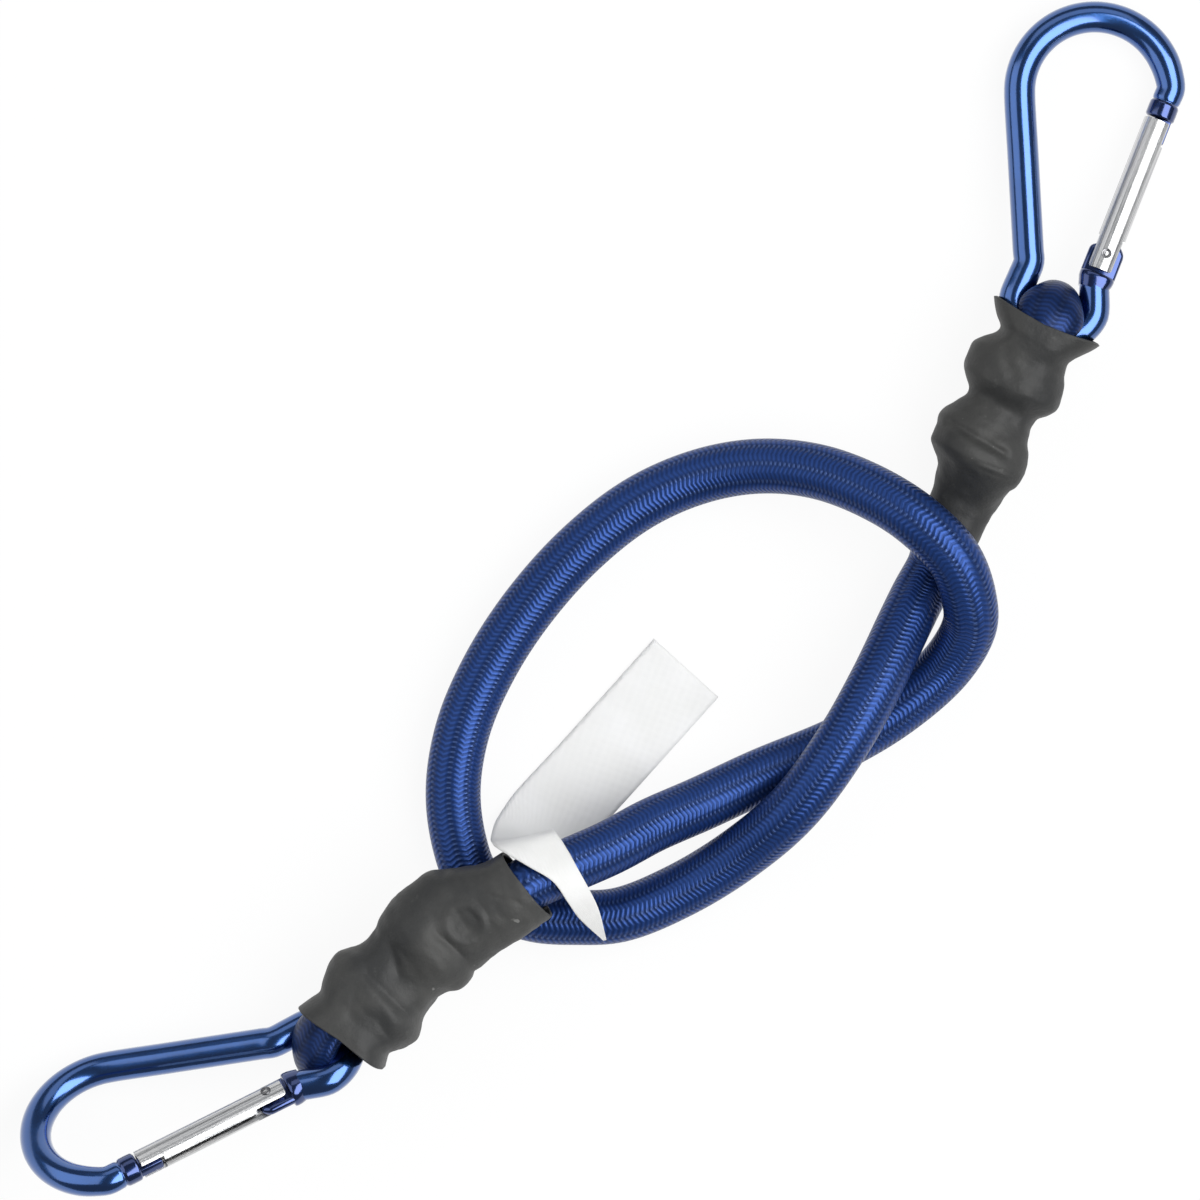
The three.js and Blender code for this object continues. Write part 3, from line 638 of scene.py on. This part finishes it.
# Folded cord ends; a strand's section is its half width and half thickness, pressed flat at the clamps
FOLD_SIDES = 44
FOLD_FULLNESS = 2.0
BEND_STEPS = 26
BEND_FORWARD = 1.8
BEND_INSIDE = 4.0
BEND_THICK = 3.45
BEND_THICKER = 0.95
BEND_WIDE = 6.2
BEND_WIDER = 1.3
BEND_DRAWN_IN = 0.8
STRAND_SPREAD = 3.5
ROUND = (5.9, 5.9)
FACE_GAP = 0.3
FLATTENING = (-37.0, -3.9, 5.9, 4.6)
PRESSED = (4.6, 3.2)
BETWEEN_CLAMPS = (5.6, 3.2)
PAST_CLAMP = (4.7, 3.2)
PAST_CLAMP_BY = 2.2
PAST_CLAMP_SPREAD = 3.7
BEFORE_BEND = (-3.6, 5.9, 6.0, 3.3)
TAIL = 4.5
TAIL_END = (4.8, 2.8)


def fold_stations(end):
    """Stations of the folded cord in the end's YZ plane: along, up, half width, half thickness."""
    front, rear = end["clamps"]
    between = (front + rear) / 2
    along, up, wide, thick = BEFORE_BEND
    under = [
        (CORD_FACE + FACE_GAP, -CORD_DROP, *ROUND),
        FLATTENING,
        (rear, -STRAND_SPREAD, *PRESSED),
        (between, -STRAND_SPREAD, *BETWEEN_CLAMPS),
        (front, -STRAND_SPREAD, *PRESSED),
        (front + PAST_CLAMP_BY, -PAST_CLAMP_SPREAD, *PAST_CLAMP),
        (along, -up, wide, thick),
    ]
    bend = []
    for k in range(BEND_STEPS + 1):
        angle = -math.pi / 2 + math.pi * k / BEND_STEPS
        nose = math.cos(angle) ** 2
        half = BEND_THICK + BEND_THICKER * nose
        reach = BEND_INSIDE + half
        width = BEND_WIDE + BEND_WIDER * math.sin(2 * angle) ** 2 - BEND_DRAWN_IN * nose ** 4
        tucked = 1 - end["tuck"] * max(math.sin(angle), 0.0)
        bend.append((
            BEND_FORWARD * tucked + reach * math.cos(angle),
            reach * math.sin(angle) * tucked,
            width * tucked,
            half * tucked,
        ))
    over_tuck = 1 - end["tuck"]
    over = [
        (along, up * over_tuck, wide * over_tuck, thick * over_tuck),
        (front + PAST_CLAMP_BY, PAST_CLAMP_SPREAD, *PAST_CLAMP),
        (front, STRAND_SPREAD, *PRESSED),
        (between, STRAND_SPREAD, *BETWEEN_CLAMPS),
        (rear, STRAND_SPREAD, *PRESSED),
        (rear - TAIL, STRAND_SPREAD, *TAIL_END),
    ]
    return under + bend + over


def folded_cord(name, end, finish):
    """A cord end doubled back round the eye bar, with its tail inside the sleeve."""
    stations = fold_stations(end)
    line = [Vector((0.0, y, z)) for y, z, _, _ in stations]
    rings = []
    for i, (_, _, half_width, half_thickness) in enumerate(stations):
        run = (line[min(i + 1, len(line) - 1)] - line[max(i - 1, 0)]).normalized()
        thick = Vector((1.0, 0.0, 0.0)).cross(run)
        rings.append([
            end_frame(end) @ bowed(line[i] + Vector((u, 0.0, 0.0)) + thick * v, end["sag"])
            for u, v in oval_ring(half_width, half_thickness, FOLD_SIDES, FOLD_FULLNESS)
        ])
    piece = piece_from(skin(rings, True), f"{name}_woven_fold", finish, END_CREASE)
    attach(piece, "cord")
    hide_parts(f"{name}_folded_cord")


# Sleeves, in the end's lying frame. A station, from the narrow end to the mouth, is along, reach to -X,
# reach to +X, reach up and reach down. A groove is its two ends in plan, its depth and its width.
# The slant is the mouth's lean across. The dip is how far its rim draws back above and reaches out below.
SLEEVE_SIDES = 96
SLEEVE_STEPS = 150
SLEEVE_WALL = 0.6
MOUTH_REACH = 9.0
FULLNESS = 2.3
MOUTH_FULLER = 1.2
LUMP_HEIGHT = 0.5
LUMP_SCALE = 0.13
WRINKLE_HEIGHT = 0.22
WRINKLE_SCALE = (0.28, 0.5, 0.28)
MOUTH_SMOOTHER = 0.7
FIRST_SEED = 3.7
SEED_STEP = 5.1
SLEEVES = {
    "upper": {
        "shade": 0.038, "slant": 0.0, "dip": 0.9,
        "stations": [
            (-49.5, 7.2, 7.2, 3.3, 11.2), (-43.0, 7.1, 7.2, 3.5, 11.2), (-38.3, 6.9, 7.2, 4.6, 10.9),
            (-34.6, 7.4, 7.8, 6.9, 9.9), (-31.8, 8.7, 8.6, 9.2, 10.0), (-30.2, 10.5, 9.4, 10.8, 11.0),
            (-28.4, 12.1, 9.9, 12.0, 11.4), (-25.5, 12.4, 9.7, 11.6, 11.3), (-22.6, 12.9, 8.8, 10.2, 10.2),
            (-19.9, 11.4, 7.6, 9.2, 9.2), (-16.8, 9.3, 6.9, 8.6, 8.6), (-14.9, 9.2, 7.2, 9.0, 9.0),
            (-13.2, 10.6, 8.7, 10.2, 10.4), (-11.3, 12.2, 10.0, 11.4, 11.4), (-8.5, 12.9, 10.0, 11.4, 11.4),
            (-5.6, 12.8, 9.2, 11.0, 11.1), (-3.7, 11.4, 8.4, 11.1, 11.2), (-1.5, 9.1, 8.0, 11.6, 11.6),
            (0.0, 8.7, 8.6, 11.9, 11.7), (1.6, 10.3, 9.8, 12.0, 11.8), (3.5, 11.8, 11.4, 11.9, 11.8),
            (5.3, 12.9, 12.6, 11.8, 11.7),
        ],
        "grooves": [
            ((-10.0, -23.6), (4.0, -24.8), 1.1, 1.0), ((-9.5, -14.8), (5.0, -16.2), 0.2, 1.6),
            ((0.0, -28.6), (8.0, -28.0), 0.22, 0.35), ((0.5, -29.9), (8.0, -29.4), 0.22, 0.35),
            ((-6.0, -4.0), (-2.0, -9.0), 0.35, 1.3), ((2.5, -18.0), (-1.0, -23.0), 0.4, 1.4),
        ],
        "spot": None,
    },
    "lower": {
        "shade": 0.050, "slant": 0.28, "dip": 0.8,
        "stations": [
            (-50.3, 5.3, 11.0, 10.6, 4.8), (-46.5, 5.4, 11.4, 10.6, 4.8), (-44.2, 5.3, 12.1, 10.5, 4.9),
            (-41.0, 5.1, 14.0, 10.3, 5.0), (-38.0, 4.9, 15.6, 10.2, 5.5), (-35.0, 4.6, 17.2, 10.2, 6.5),
            (-31.5, 4.8, 17.6, 10.4, 9.4), (-29.2, 4.7, 17.7, 10.8, 10.4), (-27.0, 5.6, 17.8, 11.3, 11.2),
            (-24.5, 5.8, 17.5, 11.4, 11.4), (-22.4, 4.9, 17.0, 10.8, 10.8), (-20.0, 4.4, 16.1, 9.8, 9.8),
            (-18.0, 4.5, 14.8, 9.3, 9.3), (-15.0, 5.2, 14.1, 9.3, 9.3), (-12.8, 6.4, 14.0, 10.2, 10.2),
            (-10.5, 8.3, 14.9, 11.3, 11.3), (-8.5, 8.5, 15.8, 11.4, 11.4), (-6.0, 8.1, 15.3, 11.2, 11.2),
            (-3.8, 7.4, 13.2, 11.2, 11.2), (-2.0, 7.3, 11.3, 11.6, 11.6), (0.0, 8.1, 11.3, 11.9, 11.9),
            (2.4, 9.3, 11.5, 12.0, 12.0),
        ],
        "grooves": [
            ((9.0, -11.4), (-5.0, -12.6), 0.8, 1.4), ((5.4, -43.5), (0.8, -47.5), 0.3, 0.4),
            ((3.5, -43.0), (4.5, -46.0), 0.2, 0.4), ((12.0, -20.5), (4.0, -16.5), 0.5, 1.3),
            ((-2.0, -30.5), (6.0, -29.0), 0.6, 1.2), ((8.0, -8.0), (3.0, -3.0), 0.3, 1.0),
        ],
        "spot": {"at": (4.4, -35.2), "ring": 4.0, "rim": (0.55, 0.75), "dish": (0.4, 2.6)},
    },
}


def beside(point, start, finish):
    """Distance in plan from a point to the line between two others."""
    way = finish - start
    share = min(max((point - start).dot(way) / way.length_squared, 0.0), 1.0)
    return (point - start - way * share).length


def dent(plan, shape):
    """How far the sleeve's upper side is pressed in or pushed out at a place in plan."""
    push = 0.0
    for start, finish, depth, width in shape["grooves"]:
        distance = beside(plan, Vector(start), Vector(finish))
        push -= depth * math.exp(-((distance / width) ** 2))
    spot = shape["spot"]
    if spot:
        distance = (plan - Vector(spot["at"])).length
        height, rim_width = spot["rim"]
        depth, dish_width = spot["dish"]
        rim = height * math.exp(-(((distance - spot["ring"]) / rim_width) ** 2))
        push += rim - depth * math.exp(-((distance / dish_width) ** 2))
    return push


def rubber_relief(x, y, z, seed):
    """How far the shrunk rubber stands out by its lumps and wrinkles."""
    lump = noise.noise(Vector((x * LUMP_SCALE, y * LUMP_SCALE, z * LUMP_SCALE + seed)))
    across, along, up = WRINKLE_SCALE
    wrinkle = noise.noise(Vector((x * across, y * along, z * up - seed)))
    return LUMP_HEIGHT * lump + WRINKLE_HEIGHT * wrinkle


def sleeve(name, end, finish, seed):
    """A sleeve shrunk over a cord end, open at both ends."""
    shape = SLEEVES[name]
    stations = shape["stations"]
    start, mouth = stations[0][0], stations[-1][0]
    rings = []
    for i in range(SLEEVE_STEPS + 1):
        y = start + (mouth - start) * i / SLEEVE_STEPS
        left, right, up, down = through(stations, y)
        near_mouth = min(max((y - mouth + MOUTH_REACH) / MOUTH_REACH, 0.0), 1.0)
        slant = shape["slant"] * near_mouth
        ring = []
        for u, v in oval_ring(1.0, 1.0, SLEEVE_SIDES, FULLNESS + MOUTH_FULLER * near_mouth):
            x = (right - left) / 2 + u * (right + left) / 2
            z = (up - down) / 2 + v * (up + down) / 2
            out = Vector((u, 0.0, v)).normalized()
            push = rubber_relief(x, y, z, seed) * (1 - MOUTH_SMOOTHER * near_mouth)
            push += dent(Vector((x, y)), shape) * max(v, 0.0) ** 0.5
            dip = shape["dip"] * near_mouth ** 4 * (1 - abs(u)) * math.copysign(1.0, v)
            point = Vector((x, y + slant * x - dip, z)) + out * push
            ring.append(lying(end) @ point)
        rings.append(ring)
    piece = piece_from(skin(rings, False), f"{name}_shrunk_sleeve", finish)
    wall = piece.modifiers.new("wall", "SOLIDIFY")
    wall.thickness = SLEEVE_WALL * MM
    wall.offset = -1.0
    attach(piece, "cord")
    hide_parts(f"{name}_sleeve")


# Hooks, in the hook's own frame: origin in the middle of the eye, +Y to the bow, the gate on the +X side
ROD_SIDES = 36
ROD_STEP = 0.8
ROD_CREASE = 50
ROD_RADIUS = 3.4
BOW_RADIUS = 16.5
BOW_TO_EYE = 48.0
EYE_RADIUS = 8.8
EYE_FLATTENED = 0.8
EYE_NARROWED = 0.14
SPINE_LEAN = 14.0
SPINE_STOPS = (0.35, 0.7, 0.9, 0.965)
KINK_HEIGHT = 7.4
SHOULDER = Vector((-7.9, 5.0, 0.0))
RIVET_AT = Vector((8.9, 13.4, 0.0))
GATE_LEAN = 10.5
NOSE_STOPS = (32.0, 34.4, 36.8)
BOW_START = 14.0
BOW_STEPS = 18
EYE_STEPS = 20
NECK_AT = -6.4
ROD_END = -4.8
PLATE_EDGE = 0.25
TONGUE_EDGE = 0.8
TONGUE_THICKNESS = 2.0
TONGUE = [
    (-3.9, -5.6), (3.9, -5.6), (3.9, 1.1), (2.5, 2.7), (-0.9, 2.75), (-1.9, 2.3), (-2.7, 1.7), (-3.9, 0.9),
]
NOSE_THICKNESS = 2.2
NOSE_PLATE = [(-1.0, 26.9), (2.8, 26.9), (2.8, 33.0), (-1.0, 33.0)]
# The rod's radius at distances from its nose: the collar, the groove behind it and the neck
NOSE_PROFILE = [
    (0.0, 2.75), (0.25, 3.1), (0.6, 3.25), (3.2, 3.25), (3.6, 3.1), (3.9, 2.85), (4.2, 3.0), (4.7, 3.1),
    (9.0, 3.2), (14.0, ROD_RADIUS),
]
# The radius at distances from the hinge end
HINGE_PROFILE = [(-8.0, ROD_RADIUS), (-2.5, 3.3), (0.0, 3.2)]
COLLAR_RINGS = (0.12, 0.25, 0.42, 0.6, 3.2, 3.4, 3.6, 3.75, 3.9, 4.05, 4.2, 4.45, 4.7)
# The hinge cup's stations in the gate's frame: along, half width, half thickness
HINGE_CUP = [
    (-8.2, 3.2, 3.2), (-7.2, 3.5, 3.35), (-6.2, 3.85, 3.4), (-5.3, 3.95, 3.35), (-4.8, 3.9, 3.2),
    (-4.6, 3.6, 2.9),
]
CUP_SIDES = 32
CUP_FULLNESS = 2.5


def on_gate(distance):
    """A point on the gate's middle line at a distance from the rivet."""
    lean = math.radians(GATE_LEAN)
    return RIVET_AT + Vector((math.sin(lean), math.cos(lean), 0.0)) * distance


def arc(centre_y, radius, start, finish, steps):
    """Points on an arc in the hook's plane, between two angles in degrees."""
    angles = [math.radians(start + (finish - start) * k / steps) for k in range(steps + 1)]
    return [Vector((radius * math.cos(a), centre_y + radius * math.sin(a), 0.0)) for a in angles]


def touch_angle(point, side):
    """Where a line from a point outside the eye touches the eye's middle circle, in degrees."""
    return math.degrees(math.atan2(point.y, point.x) + side * math.acos(EYE_RADIUS / point.length))


def rod_path():
    """The rod's middle line from the nose over the bow, down the spine and round the eye to the hinge."""
    nose = [on_gate(at) for at in NOSE_STOPS]
    bow = arc(BOW_TO_EYE, BOW_RADIUS, BOW_START, 180.0 + SPINE_LEAN, BOW_STEPS)
    top = bow[-1]
    kink = Vector((top.x + (top.y - KINK_HEIGHT) * math.tan(math.radians(SPINE_LEAN)), KINK_HEIGHT, 0.0))
    neck = on_gate(NECK_AT)
    eye = arc(0.0, EYE_RADIUS, touch_angle(kink, 1), touch_angle(neck, -1) + 360.0, EYE_STEPS)
    for point in eye:
        if point.y < 0:
            point.x *= 1 + EYE_NARROWED * point.y / EYE_RADIUS
            point.y *= EYE_FLATTENED
    spine = [top.lerp(kink, share) for share in SPINE_STOPS]
    return smooth_path([*nose, *bow, *spine, SHOULDER, *eye[1:], neck, on_gate(ROD_END)], ROD_STEP)


def hinge_cup(matrix):
    """The swelling under the hinge where the round rod is pressed out to the flat tongue."""
    rings = []
    for y, half_width, half_thickness in HINGE_CUP:
        ring = oval_ring(half_width, half_thickness, CUP_SIDES, CUP_FULLNESS)
        rings.append([matrix @ Vector((x, y, z)) for x, z in ring])
    return skin(rings, True)


def bent_rod(name, end, finish):
    """A hook's frame: the rod, the tongue and cup of its hinge, and the plate that the gate shuts on."""
    matrix = hook_frame(end)
    path = rod_path()
    length = run_lengths(path)
    profile = [*NOSE_PROFILE, *((length[-1] + at, radius) for at, radius in HINGE_PROFILE)]
    stops = sorted({*length, *COLLAR_RINGS})
    places = [(d, *p) for d, p in zip(length, path)]
    points = [Vector(through(places, at)) for at in stops]
    rings = tube_rings(points, lambda i: through(profile, stops[i])[0], ROD_SIDES, UP)
    rod = skin([[matrix @ p for p in ring] for ring in rings], True)
    gate = gate_frame(end)
    tongue = slab(TONGUE, TONGUE_THICKNESS, TONGUE_EDGE, gate)
    cup = hinge_cup(gate)
    nose = slab(NOSE_PLATE, NOSE_THICKNESS, PLATE_EDGE, gate)
    piece = piece_from(joined([rod, tongue, cup, nose]), f"{name}_bent_rod", finish, ROD_CREASE)
    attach(piece, f"{name}_hook")
    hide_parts(f"{name}_hook_frame")


# Gates, in the gate's own frame: origin at the rivet, +Y to the free end, +X to the open side
GATE_RADIUS = 3.1
GATE_WALL = 0.85
GATE_LENGTH = 31.5
EAR_LENGTH = 3.9
SEAM = 18.0
SLOT = 36.0
EAR_BACK = 153.0
SLOT_START = 26.2
SLOT_STEP = 0.05
EDGE_RUN = 0.4
WELD_REACH = 0.005
GATE_CREASE = 40
# The channel's stations: along, half of its opening in degrees
CHANNEL = [
    (EAR_LENGTH, SEAM), (EAR_LENGTH + EDGE_RUN, SEAM), (12.0, SEAM), (20.0, SEAM),
    (SLOT_START - EDGE_RUN, SEAM), (SLOT_START, SEAM), (SLOT_START + SLOT_STEP, SLOT),
    (SLOT_START + EDGE_RUN, SLOT), (GATE_LENGTH - EDGE_RUN, SLOT), (GATE_LENGTH, SLOT),
]
# An ear's stations: along, where it starts and ends round the gate in degrees
EAR = [
    (-3.7, 48.0, 141.0), (-3.6, 43.0, 146.0), (-3.3, 38.0, 151.0), (-2.8, SLOT, EAR_BACK),
    (-2.3, SLOT, EAR_BACK), (EAR_LENGTH - EDGE_RUN, SLOT, EAR_BACK), (EAR_LENGTH, SLOT, EAR_BACK),
]
CHANNEL_STEPS = 36
EAR_STEPS = 13


def rolled_wall(y, start, finish, steps, side, matrix):
    """One ring of the rolled sheet, out along its outside and back along its inside."""
    angles = [math.radians(start + (finish - start) * k / steps) for k in range(steps + 1)]
    outside = [(GATE_RADIUS, a) for a in angles]
    inside = [(GATE_RADIUS - GATE_WALL, a) for a in reversed(angles)]
    return [matrix @ Vector((r * math.cos(a), y, side * r * math.sin(a))) for r, a in outside + inside]


def lay_round(mesh, matrix):
    """Gives the gate its length along U and the way round it along V."""
    uv = mesh.loops.layers.uv["UVMap"]
    back = matrix.inverted()
    for face in mesh.faces:
        for loop in face.loops:
            place = back @ (loop.vert.co / MM)
            loop[uv].uv = (place.y, math.atan2(place.z, place.x) % TURN / TURN)


def weld_ears(mesh, matrix):
    """Makes one closed shell of the channel and its ears, with no wall where they meet."""
    bmesh.ops.remove_doubles(mesh, verts=mesh.verts, dist=WELD_REACH * MM)
    back = matrix.inverted()
    meeting = {v for v in mesh.verts if abs((back @ (v.co / MM)).y - EAR_LENGTH) < WELD_REACH}
    walls = [face for face in mesh.faces if meeting.issuperset(face.verts)]
    bmesh.ops.delete(mesh, geom=walls, context="FACES_ONLY")
    bmesh.ops.holes_fill(mesh, edges=[edge for edge in mesh.edges if edge.is_boundary])
    bmesh.ops.recalc_face_normals(mesh, faces=mesh.faces)


def rolled_gate(name, end, finish):
    """A gate rolled from sheet, with two ears round the hinge tongue."""
    matrix = gate_frame(end)
    channel = [rolled_wall(y, half, 360.0 - half, CHANNEL_STEPS, 1, matrix) for y, half in CHANNEL]
    parts = [skin(channel, True)]
    for side in (1, -1):
        ear = [rolled_wall(y, first, last, EAR_STEPS, side, matrix) for y, first, last in EAR]
        parts.append(skin(ear, True))
    whole = joined(parts)
    weld_ears(whole, matrix)
    lay_round(whole, matrix)
    piece = piece_from(whole, f"{name}_rolled_gate", finish, GATE_CREASE)
    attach(piece, f"{name}_gate")
    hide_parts(f"{name}_gate")


# Half of a rivet: radius, height
RIVET_PROFILE = [(0.35, 3.06), (0.62, 3.12), (0.80, 3.30), (1.0, 3.34), (1.12, 3.22), (1.12, 2.2)]
RIVET_SIDES = 24
RIVET_CREASE = 50


def hinge_rivet(name, end, finish):
    """A pin closed flush, with dished ends."""
    matrix = gate_frame(end)
    angles = [TURN * k / RIVET_SIDES for k in range(RIVET_SIDES)]
    rings = []
    for radius, z in [*RIVET_PROFILE, *((r, -z) for r, z in reversed(RIVET_PROFILE))]:
        rings.append([matrix @ Vector((radius * math.cos(a), radius * math.sin(a), z)) for a in angles])
    piece = piece_from(skin(rings, True), f"{name}_hinge_rivet", finish, RIVET_CREASE)
    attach(piece, f"{name}_hook")
    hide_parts(f"{name}_gate_rivet")


# Label. A station of its route is a place on its middle line, the way its width runs and its width.
# Places are counted from a point of the table under the lower sleeve's end.
LABEL_WIDTH = 19.0
LABEL_THICKNESS = 0.3
LABEL_STEP = 0.8
LABEL_COLUMNS = 16
LABEL_FOOT = Vector((-17.077, -62.305, 0.0))
LABEL_ROUTE = [
    ((35.3, 47.3, 0.5), (0.74, -0.67, 0.0), LABEL_WIDTH),
    ((25.1, 35.9, 0.5), (0.74, -0.67, 0.0), LABEL_WIDTH),
    ((13.6, 23.1, 0.5), (0.74, -0.67, 0.0), LABEL_WIDTH),
    ((5.6, 14.5, 0.6), (0.78, -0.62, 0.0), LABEL_WIDTH),
    ((1.7, 11.1, 2.6), (0.90, -0.44, 0.0), 16.6), ((0.3, 9.5, 9.0), (0.98, -0.20, 0.0), 15.1),
    ((-0.5, 10.5, 16.0), (0.98, 0.16, 0.0), 13.0), ((0.7, 9.9, 25.2), (0.96, 0.26, -0.10), 13.0),
    ((5.2, 6.0, 27.9), (0.92, 0.30, -0.25), 9.8), ((9.0, 2.4, 28.5), (0.88, 0.38, -0.28), 6.4),
    ((11.8, -2.0, 26.5), (0.88, 0.40, -0.20), 5.6), ((14.2, -6.2, 21.2), (0.88, 0.35, 0.0), 4.6),
    ((17.6, -11.8, 13.9), (0.80, 0.30, 0.30), 0.7),
]


def cloth_label(finish):
    """The label, from its free end on the table, under the cord and over it to the tip of its lap."""
    middle = smooth_path([at for at, _, _ in LABEL_ROUTE], LABEL_STEP)
    length = run_lengths(middle)
    marks = []
    for at, across, width in LABEL_ROUTE:
        nearest = min(range(len(middle)), key=lambda i: (middle[i] - Vector(at)).length)
        marks.append((length[nearest], *across, width))
    mesh = bmesh.new()
    bmesh.ops.create_grid(mesh, x_segments=LABEL_COLUMNS, y_segments=len(middle) - 1, size=1.0)
    uv = mesh.loops.layers.uv.new("UVMap")
    flat = {}
    for vert in mesh.verts:
        u = vert.co.x
        i = round((vert.co.y + 1) / 2 * (len(middle) - 1))
        x, y, z, width = through(marks, length[i])
        across = Vector((x, y, z)).normalized()
        flat[vert] = (u * width / 2, length[i])
        vert.co = (middle[i] + across * (u * width / 2) + LABEL_FOOT + SHIFT) * MM
    for face in mesh.faces:
        for loop in face.loops:
            loop[uv].uv = flat[loop.vert]
    area = sum(face.calc_area() for face in mesh.faces)
    piece = piece_from(mesh, "cloth_label", finish)
    wall = piece.modifiers.new("cloth", "SOLIDIFY")
    wall.thickness = LABEL_THICKNESS * MM
    wall.offset = 0.0
    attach(piece, "cord")
    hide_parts("label")


def paint_nodes(names, finish):
    """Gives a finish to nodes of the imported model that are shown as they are."""
    for name in names:
        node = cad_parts[name]
        node.data.materials.clear()
        node.data.materials.append(finish)


# The dressed part, the table and the light

camera_above()
free_cord(braid("woven_cover", pitch=1.1, rib_tone=COVER_TONE, stitching=0.45, relief=0.16))
rubbers = {name: shrunk_rubber(f"{name}_rubber", shape["shade"]) for name, shape in SLEEVES.items()}
# The fold's weave takes the cord's blue darkened as painted shade
shaded_fold_weave = braid("shaded_fold_weave", pitch=0.8, rib_tone=FOLD_PAINTED_SHADE_TONE, stitching=0.12, relief=0.05)
blue = anodised("anodised_blue")
silver = satin_silver("gate_silver")
dark_steel = plain_steel("rivet_steel", pale=(0.34, 0.34, 0.35), dark=(0.14, 0.14, 0.15))
for seed, (end_name, end) in enumerate(ENDS.items()):
    sleeve(end_name, end, rubbers[end_name], FIRST_SEED + SEED_STEP * seed)
    folded_cord(end_name, end, shaded_fold_weave)
    bent_rod(end_name, end, blue)
    rolled_gate(end_name, end, silver)
    hinge_rivet(end_name, end, dark_steel)
cloth_label(label_cloth("label_cloth"))

steel = plain_steel("small_steel", pale=(0.62, 0.63, 0.65), dark=(0.40, 0.41, 0.43))
wire = plain_steel("clamp_wire", pale=(0.52, 0.53, 0.55), dark=(0.34, 0.35, 0.37))
for end_name in ENDS:
    paint_nodes([f"{end_name}_{part}" for part in ("spring_pusher", "gate_spring")], steel)
    paint_nodes([f"{end_name}_{place}_wire_clamp" for place in ("front", "rear")], wire)

table()
studio_world()
for lamp_name, (lamp_place, lamp_size, power) in LAMPS.items():
    soft_box(lamp_name, lamp_place, lamp_size, power)

bpy.context.scene.view_settings.view_transform = "Standard"
